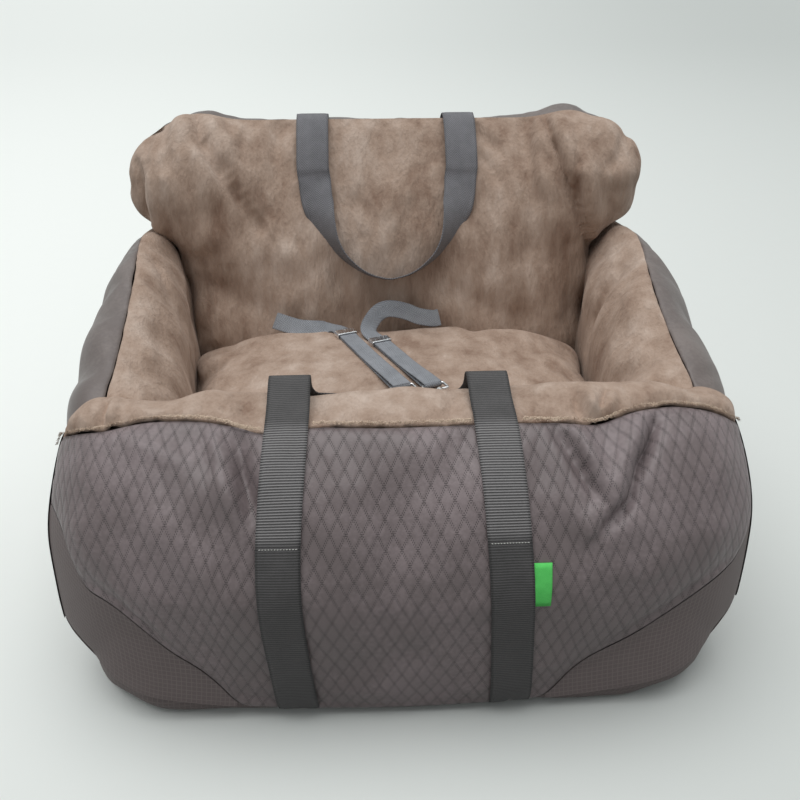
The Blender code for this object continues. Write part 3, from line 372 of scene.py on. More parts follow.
@dataclass(frozen=True)
class Leatherette:
    """Soft grained leatherette, plain or with pin dots in diamonds."""

    name: str = "leatherette"
    pattern: Pattern = Pattern.PLAIN
    colour: tuple[float, float, float] = (104, 95, 92)
    worn_and_lit: tuple[float, float, float] = (122, 113, 109)
    diamond_width: float = 0.0135
    diamond_height: float = 0.0275
    row_offset: float = 0.00070
    dot_radius: float = 0.00042
    dots_per_side: float = 7.0
    pebbles: float = 900.0
    grain_depth: float = 0.0004
    pattern_depth: float = 0.0005
    dot_shade: float = 0.34
    dot_strength: float = 0.78

    def dots(self, board: Board) -> tuple[Signal, Signal]:
        """The pin dots and the soft pillow of each diamond, both from 0 to 1."""
        across, along = board.flat_place()
        rise = math.hypot(1 / self.diamond_width, 1 / self.diamond_height)
        side = math.hypot(self.diamond_width, self.diamond_height) / 2
        first = across * (1 / self.diamond_width) + along * (1 / self.diamond_height)
        second = across * (1 / self.diamond_width) - along * (1 / self.diamond_height)
        dots: Signal | None = None
        for line, run in ((first, second), (second, first)):
            off_line = line.off_whole() * (1 / rise) - self.row_offset
            off_dot = (run * self.dots_per_side).off_whole() * (side / self.dots_per_side)
            apart = (off_line * off_line + off_dot * off_dot) ** 0.5
            dot = apart.ramp(self.dot_radius * 0.75, self.dot_radius * 1.3, 1.0, 0.0)
            dots = dot if dots is None else dots.most(dot)
        pillow = first.off_whole().least(second.off_whole()).ramp(0.0, 0.32)
        return dots, pillow

    def make(self) -> bpy.types.Material:
        """The material, with pebble grain, rubbed patches, the pattern if any and a painted highlight in
        the middle of each diamond.
        """
        board = Board(self.name)
        place = board.place()
        cells = {"Scale": self.pebbles, "Vector": place}
        pebbles = board.make("ShaderNodeTexVoronoi", {"feature": "SMOOTH_F1"}, cells)
        coarse = board.noise(260.0, 3.0, place)
        patches = board.noise(11.0, 4.0, place, roughness=0.6)
        rubbed = (patches * 0.7 + coarse * 0.3).ramp(0.42, 0.66)
        colour = board.mix(rubbed, tone(*self.colour), tone(*self.worn_and_lit))
        grain = board.bump(pebbles * -0.7 + coarse * 0.5, self.grain_depth, 0.5)
        relief = grain
        if self.pattern is Pattern.DIAMONDS:
            dots, pillow = self.dots(board)
            dark = tuple(value * self.dot_shade for value in self.colour)
            # Painted highlight: each diamond is lightened towards its middle, so the quilting lines between
            # them look shaded; the same colour also marks the rubbed patches.
            colour = board.mix(pillow * 0.12, colour, tone(*self.worn_and_lit))
            colour = board.mix(dots * self.dot_strength, colour, tone(*dark))
            relief = board.bump(pillow, self.pattern_depth, 0.6, grain)
            relief = board.bump(1.0 - dots, self.pattern_depth, 0.8, relief)
        values = {
            "Base Color": colour,
            "Roughness": patches.ramp(0.3, 0.7, 0.40, 0.54),
            "Specular IOR Level": 0.5,
            "Sheen Weight": 0.06,
            "Normal": relief,
        }
        return board.finish(values)


@dataclass(frozen=True)
class Ripstop:
    """Thin woven nylon with a raised grid of heavier threads."""

    name: str = "ripstop"
    colour: tuple[float, float, float] = (109, 99, 98)
    thread: tuple[float, float, float] = (127, 117, 115)
    grid: float = 0.0052
    weave: float = 0.0009

    def make(self) -> bpy.types.Material:
        """The material, with its grid, weave and faint creases."""
        board = Board(self.name)
        across, along = board.flat_place()
        lines = (across * (1 / self.grid)).off_whole().least((along * (1 / self.grid)).off_whole())
        raised = lines.ramp(0.04, 0.12, 1.0, 0.0)
        woven = board.woven(self.weave)
        creases = board.noise(34.0, 4.0, roughness=0.6)
        shade = (raised * 0.7 + woven * 0.2 + creases * 0.35).ramp(0.1, 1.0)
        colour = board.mix(shade, tone(*self.colour), tone(*self.thread))
        relief = board.bump(creases, 0.003, 0.4)
        relief = board.bump(raised + woven * 0.4, 0.0002, 0.6, relief)
        values = {"Base Color": colour, "Roughness": 0.62, "Specular IOR Level": 0.35, "Normal": relief}
        return board.finish(values)


class Weave(Enum):
    """How a strap is woven."""

    RIBBED = "ribbed"
    TWILL = "twill"


@dataclass(frozen=True)
class Webbing:
    """Woven strap: ribs across it or fine twill, with bound edges."""

    name: str
    weave: Weave
    dark: tuple[float, float, float]
    light: tuple[float, float, float]
    width: float
    rib: float = 0.0030
    ribs_from: float = 0.0
    ribs_to: float = 1.0
    yarn: float = 0.0011
    pick: float = 0.0016
    chevron_width: float = 0.0126
    chevron_pitch: float = 0.0030

    def make(self) -> bpy.types.Material:
        """The material, in the strap's own lengths across and along, with a painted highlight on the rib
        crests.
        """
        board = Board(self.name)
        across, along = board.flat_place()
        yarns = (across * (1 / self.yarn) + along * (1 / self.pick)).wave()
        edge = (across * (1 / self.width)).off_whole().ramp(0.02, 0.075, 1.0, 0.0)
        wear = board.noise(55.0, 4.0, roughness=0.65)
        fuzz = board.noise(900.0, 2.0)
        if self.weave is Weave.RIBBED:
            ribs = (along * (1 / self.rib)).wave()
            strong = along.ramp(self.ribs_from, self.ribs_from + 0.012)
            strong = strong * along.ramp(self.ribs_to, self.ribs_to + 0.02, 1.0, 0.0)
            height = ribs * (strong * 0.6 + 0.25) + yarns * 0.25
            # Painted highlight: the rib crests are lighter and the grooves between them darker.
            shade = ribs.ramp(0.2, 0.95) * (strong * 0.42 + 0.16)
            shade = shade + strong * 0.12 + yarns * 0.14 + wear * 0.20
        else:
            turned = (across * (1 / self.chevron_width)).off_whole() * 5.0
            chevron = (turned + along * (1 / self.chevron_pitch)).wave()
            height = chevron * 0.38 + yarns * 0.40
            shade = chevron * 0.26 + yarns * 0.20 + wear * 0.42
        shade = shade + fuzz * 0.12 - edge * 0.12
        colour = board.mix(shade.ramp(0.05, 0.95), tone(*self.dark), tone(*self.light))
        relief = board.bump(height + edge * 0.25, 0.0010, 1.0)
        relief = board.bump(fuzz, 0.0002, 0.5, relief)
        values = {
            "Base Color": colour,
            "Roughness": wear.ramp(0.3, 0.7, 0.62, 0.78),
            "Specular IOR Level": 0.3,
            "Sheen Weight": 0.08,
            "Normal": relief,
        }
        return board.finish(values)


@dataclass(frozen=True)
class Cloth:
    """Plain woven cloth, such as a tag, a tape or thread."""

    name: str
    colour: tuple[float, float, float]
    light: tuple[float, float, float]
    thread: float = 0.0006

    def make(self) -> bpy.types.Material:
        """The material, with its weave over the lengths along the cloth."""
        board = Board(self.name)
        woven = board.woven(self.thread)
        soil = board.noise(120.0, 3.0)
        colour = board.mix((woven * 0.6 + soil * 0.5).ramp(0.1, 0.9), tone(*self.colour), tone(*self.light))
        values = {"Base Color": colour, "Roughness": 0.8, "Normal": board.bump(woven, 0.0002, 0.7)}
        return board.finish(values)


@dataclass(frozen=True)
class Chrome:
    """Polished or moulded hard parts, with fine scratches."""

    name: str
    colour: tuple[float, float, float]
    metallic: float = 1.0
    roughness: float = 0.16

    def make(self) -> bpy.types.Material:
        """The material, with fine scratches and dull spots."""
        board = Board(self.name)
        place = board.place()
        scratches = board.noise(1.0, 3.0, board.stretched(place, (900.0, 90.0, 900.0), 0.6))
        spots = board.noise(210.0, 3.0, place)
        dull = (scratches * 0.6 + spots * 0.4).ramp(0.35, 0.75, self.roughness * 0.7, self.roughness * 1.9)
        tint = board.mix(spots * 0.25, tone(*self.colour), tone(*(value * 0.8 for value in self.colour)))
        values = {
            "Base Color": tint,
            "Metallic": self.metallic,
            "Roughness": dull,
            "Normal": board.bump(scratches, 0.00006, 0.4),
        }
        return board.finish(values)


class Wardrobe:
    """Makes each finish once."""

    plush = Plush()
    leather = Leatherette()
    diamonds = Leatherette("quilted leatherette", Pattern.DIAMONDS, (110, 99, 99), (134, 122, 123))
    ripstop = Ripstop()
    front_webbing = Webbing(
        "dark webbing", Weave.RIBBED, (46, 45, 45), (152, 150, 150), 0.038, 0.0024, 0.204, 0.300
    )
    handle_webbing = Webbing("dark handle webbing", Weave.TWILL, (54, 52, 53), (120, 118, 118), 0.038)
    back_webbing = Webbing("grey webbing", Weave.TWILL, (86, 86, 89), (158, 158, 163), 0.038)
    tether_webbing = Webbing("tether webbing", Weave.TWILL, (112, 117, 124), (184, 188, 194), 0.020)
    tag = Cloth("tag cloth", (78, 205, 90), (112, 238, 122))
    tape = Cloth("zip tape", (60, 56, 54), (86, 81, 78), 0.0009)
    white_thread = Cloth("white thread", (205, 205, 200), (235, 235, 230), 0.0004)
    fringe = Cloth("seam fringe", (184, 161, 138), (224, 205, 184), 0.0005)
    chrome = Chrome("chrome", (238, 239, 242), 1.0, 0.26)
    teeth = Chrome("zip teeth", (92, 90, 88), 0.2, 0.4)

    def __init__(self) -> None:
        """Starts with nothing made."""
        self.made: dict[str, bpy.types.Material] = {}

    def dress(self, thing: bpy.types.Object, finish: object) -> None:
        """Gives a thing a finish, made the first time it is asked for."""
        if finish.name not in self.made:
            self.made[finish.name] = finish.make()
        thing.data.materials.clear()
        thing.data.materials.append(self.made[finish.name])


WARDROBE = Wardrobe()


# ---------------------------------------------------------------- nets of points


def refine(net: Net, axis: int, sharp: tuple[int, ...] = (), closed: bool = False) -> Net:
    """One step of cubic subdivision along an axis.

    Args:
        net: points with x, y and z last.
        axis: the axis to subdivide.
        sharp: places along it that keep their points.
        closed: whether the last place is followed by the first.

    Returns:
        The finer net.
    """
    line = np.moveaxis(net, axis, 0)
    count = len(line)
    ahead = np.roll(line, -1, 0)
    behind = np.roll(line, 1, 0)
    kept = (behind + 6 * line + ahead) / 8
    for place in (*sharp, *(() if closed else (0, count - 1))):
        kept[place] = line[place]
    middles = (line + ahead) / 2
    finer = np.empty((2 * count, *line.shape[1:]))
    finer[0::2] = kept
    finer[1::2] = middles
    return np.moveaxis(finer if closed else finer[:-1], 0, axis)


def subdivide(
    net: Net, sharp: tuple[int, ...] = (), closed: bool = False
) -> tuple[Net, tuple[int, ...]]:
    """Subdivides a net along both axes.

    Args:
        net: points with x, y and z last.
        sharp: columns that keep their points.
        closed: whether the last column is followed by the first.

    Returns:
        The finer net and where its sharp columns are.
    """
    for _ in range(SUBDIVISIONS):
        net = refine(refine(net, 1, sharp, closed), 0)
        sharp = tuple(2 * place for place in sharp)
    return net, sharp


def run_along(line: Net) -> Net:
    """The length of a line up to each of its points."""
    return np.concatenate(([0.0], np.cumsum(np.linalg.norm(np.diff(line, axis=0), axis=-1))))


def between(spots: Net | float, places: Net, points: Net) -> Net:
    """Points at spots between the places of a line's own points."""
    return np.stack([np.interp(spots, places, points[:, k]) for k in range(3)], axis=-1)


def smoothed(values: Net, reach: int) -> Net:
    """The mean of each value and its neighbours up to reach places away."""
    count = 2 * reach + 1
    return np.convolve(np.pad(values, reach, mode="edge"), np.ones(count) / count, mode="valid")


def evenly(net: Net, keys: Net, pitch: float) -> Net:
    """Spaces the columns of each row evenly between keys.

    Args:
        net: rows of points.
        keys: for each row, places along it (parts of a step allowed) that stay columns.
        pitch: the distance wanted between columns.

    Returns:
        The new net.
    """
    steps = np.linalg.norm(np.diff(net, axis=1), axis=-1)
    run = np.concatenate((np.zeros((len(net), 1)), np.cumsum(steps, axis=1)), axis=1)
    places = np.arange(net.shape[1])
    marks = np.array([np.interp(key, places, line) for key, line in zip(keys, run)])
    counts = np.maximum(2, np.round(np.diff(marks, axis=1).mean(axis=0) / pitch)).astype(int)
    rows = []
    for row, line, mark in zip(net, run, marks):
        spots = [np.linspace(a, b, n, endpoint=False) for a, b, n in zip(mark, mark[1:], counts)]
        spots = np.concatenate((*spots, mark[-1:]))
        rows.append(between(spots, line, row))
    return np.array(rows)


def even_rows(net: Net, pitch: float) -> Net:
    """Spaces each row's points evenly from end to end."""
    return evenly(net, np.tile([0.0, net.shape[1] - 1.0], (len(net), 1)), pitch)


def even_columns(net: Net, pitch: float) -> Net:
    """Spaces each column's points evenly from end to end."""
    return np.swapaxes(even_rows(np.swapaxes(net, 0, 1), pitch), 0, 1)


def crossings(
    net: Net, first: int, last: int, beyond: Callable[[Net], Net], otherwise: float
) -> list[float]:
    """For each row, the column where it crosses a line of the picture.

    Args:
        net: rows of points.
        first: the column where the search starts.
        last: the column where it ends.
        beyond: how far picture points are on the near side of the line.
        otherwise: the column taken where the line isn't met.

    Returns:
        The places, in columns.
    """
    places = []
    for row in net:
        over = beyond(VIEWPOINT.pictured(row[first : last + 1]))
        crossing = np.where((over[:-1] >= 0) & (over[1:] < 0))[0]
        if len(crossing):
            k = crossing[0]
            places.append(first + k + over[k] / (over[k] - over[k + 1]))
        else:
            places.append(otherwise)
    return places


def reach_to(net: Net, axis: int, fixed: float, reach: float) -> None:
    """Stretches what lies beyond a fixed plane, so that it ends exactly at reach."""
    away = 1.0 if reach > fixed else -1.0
    beyond = away * (net[..., axis] - fixed)
    scale = abs(reach - fixed) / beyond.max()
    net[..., axis] = np.where(beyond > 0, fixed + away * beyond * scale, net[..., axis])


def cabin_half(y: float) -> float:
    """Half the cabin's width at a depth."""
    share = (y - RIM_BACK) / (BACK - RIM_BACK)
    return CABIN_FRONT + (CABIN_BACK - CABIN_FRONT) * min(max(share, 0.0), 1.0)


def ease(value: Net | float, low: float, high: float) -> Net:
    """A smooth step from 0 at low to 1 at high."""
    share = np.clip((np.asarray(value) - low) / (high - low), 0.0, 1.0)
    return share * share * (3 - 2 * share)


class FoldShape(Enum):
    """The cross section of a fold."""

    VALLEY = "valley"
    RIDGE = "ridge"
    TUCK = "tuck"


@dataclass(frozen=True)
class Fold:
    """A fold along a line of picture points."""

    shape: FoldShape
    line: Picture
    width: float
    depth: float

    def press(self, points: Net, normals: Net) -> Net:
        """How far the fold moves each point along its normal.

        Args:
            points: the net's points.
            normals: their normals.

        Returns:
            The moves, in metres.
        """
        spots = VIEWPOINT.pictured(points)
        nearest = np.full(spots.shape[:-1], 1e9)
        signed = np.zeros(spots.shape[:-1])
        along = np.zeros(spots.shape[:-1])
        line = np.array(self.line, dtype=float)
        lengths = np.linalg.norm(np.diff(line, axis=0), axis=1)
        total, done = lengths.sum(), 0.0
        for start, end, length in zip(line, line[1:], lengths):
            way = (end - start) / length
            run = np.clip((spots - start) @ way, 0.0, length)
            away = spots - (start + run[..., None] * way)
            distance = np.linalg.norm(away, axis=-1)
            closer = distance < nearest
            nearest = np.where(closer, distance, nearest)
            side = away[..., 0] * way[1] - away[..., 1] * way[0]
            signed = np.where(closer, np.sign(side) * distance, signed)
            along = np.where(closer, (done + run) / total, along)
            done += length
        taper = np.sqrt(np.clip(np.sin(np.pi * np.clip(0.06 + 0.88 * along, 0, 1)), 0, 1))
        width = self.width * FOLD_NARROWING
        share = nearest / width
        if self.shape is FoldShape.TUCK:
            sides = signed / width
            full = np.exp(-((sides - 0.9) ** 2) * 1.6)
            profile = np.where(sides > 0, full, -1.1 * np.exp(-((sides + 0.15) ** 2) * 5))
        else:
            profile = np.exp(-share * share) * (1.0 if self.shape is FoldShape.RIDGE else -1.0)
        return FOLD_GAIN * self.depth * profile * taper * VIEWPOINT.facing(points, normals)


def ridge(width: float, depth: float, *line: tuple[float, float]) -> Fold:
    """A raised soft fold."""
    return Fold(FoldShape.RIDGE, line, width, depth)


def valley(width: float, depth: float, *line: tuple[float, float]) -> Fold:
    """A pressed-in line."""
    return Fold(FoldShape.VALLEY, line, width, depth)


def tuck(width: float, depth: float, *line: tuple[float, float]) -> Fold:
    """A fold with a full side and a dark hollow beside it."""
    return Fold(FoldShape.TUCK, line, width, depth)


class Sheet:
    """One cover: a net of points that is folded, swollen and sewn, then made into a mesh."""

    def __init__(self, name: str, points: Net, flip: bool = False, seamed: str = "tblr") -> None:
        """Starts a cover.

        Args:
            name: the piece's name.
            points: rows of points.
            flip: whether the outside is on the other side of the net.
            seamed: which edges are sewn: top row, bottom row, left and right columns.
        """
        self.name = name
        self.points = points.copy()
        self.flip = flip
        self.seamed = seamed
        self.flat = self.lengths()
        self.to_edge = self.edge_distance()

    def lengths(self) -> Net:
        """Each point's length along the rows and along the columns, in metres."""
        across = np.linalg.norm(np.diff(self.points, axis=1), axis=-1)
        along = np.linalg.norm(np.diff(self.points, axis=0), axis=-1)
        width = np.concatenate((np.zeros((len(self.points), 1)), np.cumsum(across, axis=1)), axis=1)
        middle = np.cumsum(np.concatenate(([0.0], along.mean(axis=1))))
        height = np.repeat(middle[:, None], self.points.shape[1], axis=1)
        return np.stack((height, width), axis=-1)

    def normals(self) -> Net:
        """The outward normal at each point."""
        turned = np.cross(np.gradient(self.points, axis=0), np.gradient(self.points, axis=1))
        turned /= np.maximum(np.linalg.norm(turned, axis=-1, keepdims=True), 1e-9)
        return -turned if self.flip else turned

    def turn_to(self, row: int, column: int, way: tuple[float, float, float]) -> None:
        """Sets which side is the outside, so that it looks the given way at a point."""
        self.flip ^= bool(self.normals()[row, column] @ np.array(way) < 0)

    def edge_distance(self) -> Net:
        """Each point's distance to the nearest sewn edge."""
        height, width = self.flat[..., 0], self.flat[..., 1]
        distance = np.full(height.shape, 1.0)
        edges = {
            "t": height,
            "b": height[-1:, :] - height,
            "l": width,
            "r": width[:, -1:] - width,
        }
        for edge in self.seamed:
            distance = np.minimum(distance, edges[edge])
        return distance

    def fold(self, *folds: Fold) -> "Sheet":
        """Presses folds into the cover."""
        normals = self.normals()
        held = ease(self.to_edge, 0.0, 0.010)[..., None]
        base = self.points.copy()
        for one in folds:
            self.points += normals * one.press(base, normals)[..., None] * held
        return self

    def ripple(self, height: float, shortest: float, longest: float, seed: int, waves: int = 14) -> "Sheet":
        """Adds soft uneven waves, less of them near the seams."""
        draw = np.random.default_rng(seed)
        rise = np.zeros(self.points.shape[:-1])
        for _ in range(waves):
            length = draw.uniform(shortest, longest)
            way = draw.normal(size=3)
            way /= np.linalg.norm(way)
            phase = self.points @ way / length * math.tau + draw.uniform(0, math.tau)
            bent = phase + 0.8 * np.sin(phase * 0.37 + draw.uniform(0, math.tau))
            rise += np.sin(bent) * length / longest
        rise *= height / math.sqrt(waves / 2)
        held = ease(self.to_edge, 0.0, 0.018)
        self.points += self.normals() * (rise * held)[..., None]
        return self

    def pucker(self, depth: float, pitch: float, reach: float, seed: int) -> "Sheet":
        """Adds the short gathers that run into a sewn edge."""
        draw = np.random.default_rng(seed)
        height, width = self.flat[..., 0], self.flat[..., 1]
        edge = self.to_edge
        fade = np.exp(-edge / reach) * ease(edge, 0.0, 0.006)
        waves = np.zeros(edge.shape)
        for length in (pitch, pitch * 1.63, pitch * 2.7):
            waves += np.sin((height + width) / length * math.tau + draw.uniform(0, math.tau))
        self.points += self.normals() * (waves * fade * depth / 2)[..., None]
        return self

    def swell(self, pressure: float, cap: float, shrink: float = -0.02) -> "Sheet":
        """Blows the cover up as cloth pinned along its edges, and keeps the move within a cap."""
        thing = self.mesh_object(0)
        rows, columns = self.points.shape[:2]
        pins = thing.vertex_groups.new(name="seams")
        border = [
            i * columns + j
            for i in range(rows)
            for j in range(columns)
            if i in (0, rows - 1) or j in (0, columns - 1)
        ]
        pins.add(border, 1.0, "REPLACE")
        cloth = thing.modifiers.new("cloth", "CLOTH")
        cloth.settings.quality = CLOTH_QUALITY
        cloth.settings.mass = CLOTH_MASS
        cloth.settings.vertex_group_mass = "seams"
        cloth.settings.use_pressure = True
        cloth.settings.uniform_pressure_force = pressure
        cloth.settings.tension_stiffness = CLOTH_STIFFNESS
        cloth.settings.compression_stiffness = CLOTH_STIFFNESS
        cloth.settings.bending_stiffness = CLOTH_BENDING
        cloth.settings.shrink_min = shrink
        cloth.settings.effector_weights.gravity = 0.0
        cloth.collision_settings.use_collision = False
        cloth.point_cache.frame_start, cloth.point_cache.frame_end = 1, CLOTH_STEPS
        for number in range(1, CLOTH_STEPS + 1):
            bpy.context.scene.frame_set(number)
        settled = thing.evaluated_get(bpy.context.evaluated_depsgraph_get()).data
        places = np.empty(len(settled.vertices) * 3)
        settled.vertices.foreach_get("co", places)
        bpy.data.objects.remove(thing)
        bpy.context.scene.frame_set(1)
        move = places.reshape(self.points.shape) - self.points
        size = np.linalg.norm(move, axis=-1, keepdims=True)
        within = np.minimum(1.0, cap / np.maximum(size, TINY))
        self.points += move * within * np.tanh(size / cap).clip(LEAST_MOVE, 1.0)
        return self

    def sew(self, depth: float = 0.0022, reach: float = 0.006, turn: float = 0.005) -> "Sheet":
        """Draws the sewn edges in and turns them under."""
        normals = self.normals()
        sunk = depth * np.exp(-((self.to_edge / reach) ** 2))
        self.points -= normals * sunk[..., None]
        for edge in self.seamed:
            first = edge in "tl"
            axis = 0 if edge in "tb" else 1
            end, beside = (0, 1) if first else (-1, -2)
            rim = np.take(self.points, end, axis)
            inward = np.take(self.points, beside, axis) - rim
            inward /= np.maximum(np.linalg.norm(inward, axis=-1, keepdims=True), TINY)
            spot = np.arange(len(rim))
            held = np.clip(np.minimum(spot, spot[::-1]) / 4, 0.0, 1.0)[:, None]
            normal = np.take(normals, end, axis)
            under = rim + held * turn * (inward * 0.35 - normal)
            flat = np.take(self.flat, end, axis)
            added = ((under, self.points), (flat, self.flat), (normal, normals))
            self.points, self.flat, normals = (
                np.concatenate((row, whole) if first else (whole, row), axis=axis)
                for row, whole in ((np.expand_dims(line, axis), whole) for line, whole in added)
            )
        return self

    def faces(self) -> Net:
        """The net's quads."""
        rows, columns = self.points.shape[:2]
        index = np.arange(rows * columns).reshape(rows, columns)
        corners = (index[:-1, :-1], index[1:, :-1], index[1:, 1:], index[:-1, 1:])
        return np.stack(corners, axis=-1).reshape(-1, 4)

    def mesh_object(self, smooth_levels: int = 1) -> bpy.types.Object:
        """The cover as an object of quads."""
        faces = self.faces()
        faces = faces[:, ::-1] if self.flip else faces
        return net_object(self.name, self.points, self.flat, faces, smooth_levels)


def net_object(name: str, points: Net, flat: Net, faces: Net, smooth_levels: int) -> bpy.types.Object:
    """An object from points, their lengths along the cloth and faces."""
    mesh = bpy.data.meshes.new(name)
    mesh.from_pydata(points.reshape(-1, 3).tolist(), [], faces.tolist())
    mesh.validate()
    layer = mesh.uv_layers.new(name="cloth")
    corners = np.empty(len(mesh.loops), dtype=int)
    mesh.loops.foreach_get("vertex_index", corners)
    layer.data.foreach_set("uv", flat.reshape(-1, 2)[corners].ravel())
    mesh.shade_smooth()
    thing = bpy.data.objects.new(name, mesh)
    bpy.context.scene.collection.objects.link(thing)
    if smooth_levels:
        smooth = thing.modifiers.new("smooth", "SUBSURF")
        smooth.levels = smooth.render_levels = smooth_levels
        smooth.uv_smooth = "NONE"
    return thing


def surface_of(sheets: list[Sheet]) -> BVHTree:
    """One search tree over several covers, for laying things on them."""
    points: list[Vector] = []
    faces: list[tuple[int, ...]] = []
    for sheet in sheets:
        faces += [tuple(quad) for quad in (sheet.faces() + len(points)).tolist()]
        points += [Vector(point) for point in sheet.points.reshape(-1, 3)]
    return BVHTree.FromPolygons(points, faces)


def depths(
    surface: BVHTree, starts: list[tuple[float, float, float]], way: tuple[float, float, float]
) -> list[float]:
    """How deep rays from some starts meet a surface, without those that miss."""
    spots = [surface.ray_cast(Vector(start), Vector(way))[0] for start in starts]
    return [spot.y for spot in spots if spot is not None]


def join_meshes(name: str, parts: list[tuple[Net, Net, Net]]) -> bpy.types.Object:
    """One object from several small nets of points, lengths and faces."""
    points, flats, faces, start = [], [], [], 0
    for point, flat, face in parts:
        points.append(point.reshape(-1, 3))
        flats.append(flat.reshape(-1, 2))
        faces.append(face + start)
        start += len(points[-1])
    return net_object(name, np.concatenate(points), np.concatenate(flats), np.concatenate(faces), 0)


def settle(
    thing: bpy.types.Object,
    finish: object,
    nodes: tuple[str, ...] = (),
    body: str = "seat",
) -> None:
    """Dresses a finished piece and ties it to the part.

    Args:
        thing: the piece.
        finish: what it is made of.
        nodes: the part's nodes that it stands for.
        body: the part's body that it rides on.
    """
    WARDROBE.dress(thing, finish)
    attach(thing, body)
    if nodes:
        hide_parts(*nodes)
    LOG.info("%s: %d faces on %s", thing.name, len(thing.data.polygons), body)


# ---------------------------------------------------------------- the bolsters


def fan(
    rim: Net, outward: Vector, bulge: float, turns: tuple[float, ...] = CLOSING_TURNS
) -> Net:
    """A closing patch from a rim of points to its middle, with a soft bulge."""
    middle = rim.mean(axis=0)
    way = np.array(outward)
    return np.array([
        middle + (rim - middle) * scale + way * bulge * math.sqrt(max(1 - scale**2, 0.0))
        for scale in turns
    ])


@dataclass
class FrontBolster:
    """The stuffed rim across the front: a patterned front, plush over the top and plain ends."""

    pitch: float = 0.0043
    stations: tuple[float, ...] = (-1.0, -0.92, -0.75, 0.0, 0.75, 0.92, 1.0)
    seam_column: float = 4.72
    lower_seam: Picture = (
        (36, 455), (46, 494), (62, 532), (67, 549), (80, 584), (84, 590), (112, 606), (142, 631),
        (169, 653), (204, 673), (232, 694), (262, 730), (500, 730), (548, 690), (584, 660),
        (635, 635), (681, 605), (717, 579), (737, 559), (750, 526), (756, 500), (764, 470),
    )
    fineness: int = 8
    end_sweep: float = 0.070
    lip: float = 0.002
    lip_rise: float = 0.074
    apron_rise: float = 0.045
    end_fall: float = 0.030
    end_scales: tuple[float, ...] = (0.955, 0.975, 0.99)
    upper: tuple[float, float] = (0.16, 0.27)
    corner_sink: float = 0.0012
    tray_clearance: float = 0.0045
    end_from: float = 0.80
    end_draw: float = 0.008
    end_drops: tuple[float, float] = (0.016, 0.010)
    fullness: float = 0.009
    full_height: float = 0.165
    full_reach: float = 0.065
    seam: Picture = (
        (40, 447), (52, 444), (60, 437), (76, 433), (105, 430), (122, 425), (149, 420), (179, 419),
        (209, 420), (241, 427), (261, 433), (320, 425), (380, 426), (440, 424), (515, 421),
        (569, 421), (597, 424), (610, 419), (635, 409), (673, 404), (699, 407), (719, 412),
        (750, 429), (770, 440),
    )
    under_straps: tuple[tuple[float, float], ...] = ((-0.125, -0.081), (0.057, 0.102))
    tufts: int = 6200
    tuft_lengths: tuple[float, float] = (0.0014, 0.0038)
    tuft_halves: tuple[float, float] = (0.00022, 0.00044)
    sheets: list[Sheet] = field(default_factory=list)

    def section(self, x: float) -> list[tuple[float, float, float]]:
        """The part's own section across the bolster at a place along it."""
        share = abs(x) / HALF
        front = FRONT + self.end_sweep * share**6
        depth = RIM_BACK - front
        lip = self.lip + self.lip_rise * min(share * 1.06, 1.0) ** 5
        apron = TRAY_FRONT - 0.006 + self.apron_rise * (max(share - 0.75, 0.0) / 0.25) ** 2
        height = RIM_HEIGHT - self.end_fall * share**8
        shares = (
            (0, 0.26), (-0.02, 0.52), (0.04, 0.75), (0.22, 0.90), (0.50, 0.985), (0.80, 1.02),
            (0.985, 0.92),
        )
        ring = [(front + 0.05 * depth, lip)]
        ring += [(front + a * depth, max(b * height, lip + TOUCH)) for a, b in shares]
        ring += [(RIM_BACK, 0.72 * height), (RIM_BACK, SEATING), (apron, SEATING), (apron, lip)]
        return [(x, y, z) for y, z in ring]

    def form(self) -> tuple[Net, float]:
        """The whole bolster as a closed net, and the column where its inside ends."""
        net = np.array([self.section(share * HALF) for share in self.stations])
        net, sharp = subdivide(net, (0, 9, 10, 11), closed=True)
        for end in (0, -1):
            middle = net[end].mean(axis=0)
            for step, scale in enumerate(self.end_scales):
                row = end + step if end == 0 else end - step
                net[row, :, 1:] = middle[1:] + (net[row, :, 1:] - middle[1:]) * scale
        reach_to(net, 2, SEATING, RIM_HEIGHT)
        reach_to(net, 1, RIM_BACK - 0.06, FRONT)
        self.round_ends(net)
        return net, float(sharp[1])

    def round_ends(self, net: Net) -> None:
        """Rounds the upper corners of the two ends and fills out the middle of the front."""
        share = np.clip((np.abs(net[..., 0]) / HALF - self.end_from) / (1 - self.end_from), 0.0, 1.0)
        upper = ease(net[..., 2], *self.upper)
        drop = np.where(net[..., 0] < 0, *self.end_drops)
        net[..., 0] -= np.sign(net[..., 0]) * share**2 * (0.003 + self.end_draw * upper)
        net[..., 2] -= drop * share**2 * upper
        ahead = 1.0 - ease(net[..., 1], FRONT + 0.03, FRONT + 0.10)
        full = np.exp(-(((net[..., 2] - self.full_height) / self.full_reach) ** 2))
        low = np.exp(-((net[..., 2] / 0.04) ** 2))
        net[..., 1] -= ahead * (self.fullness * full - 0.5 * self.fullness * low) * (1 - share)

    def seam_places(self, net: Net, seam: Picture, first: float, last: float, otherwise: float) -> Net:
        """For each row, the column where the picture shows a seam.

        Args:
            net: rows of points across the bolster.
            seam: the seam's line in the picture.
            first: the section's point where the search starts.
            last: the section's point where it ends.
            otherwise: the section's point taken where the seam isn't met.

        Returns:
            The places, in columns.
        """
        x, y = np.array(seam, dtype=float).T
        first, last = int(first * self.fineness), int(last * self.fineness)

        def beyond(spots: Net) -> Net:
            return spots[:, 1] - np.interp(spots[:, 0], x, y)

        return smoothed(crossings(net, first, last, beyond, otherwise * self.fineness), 2)

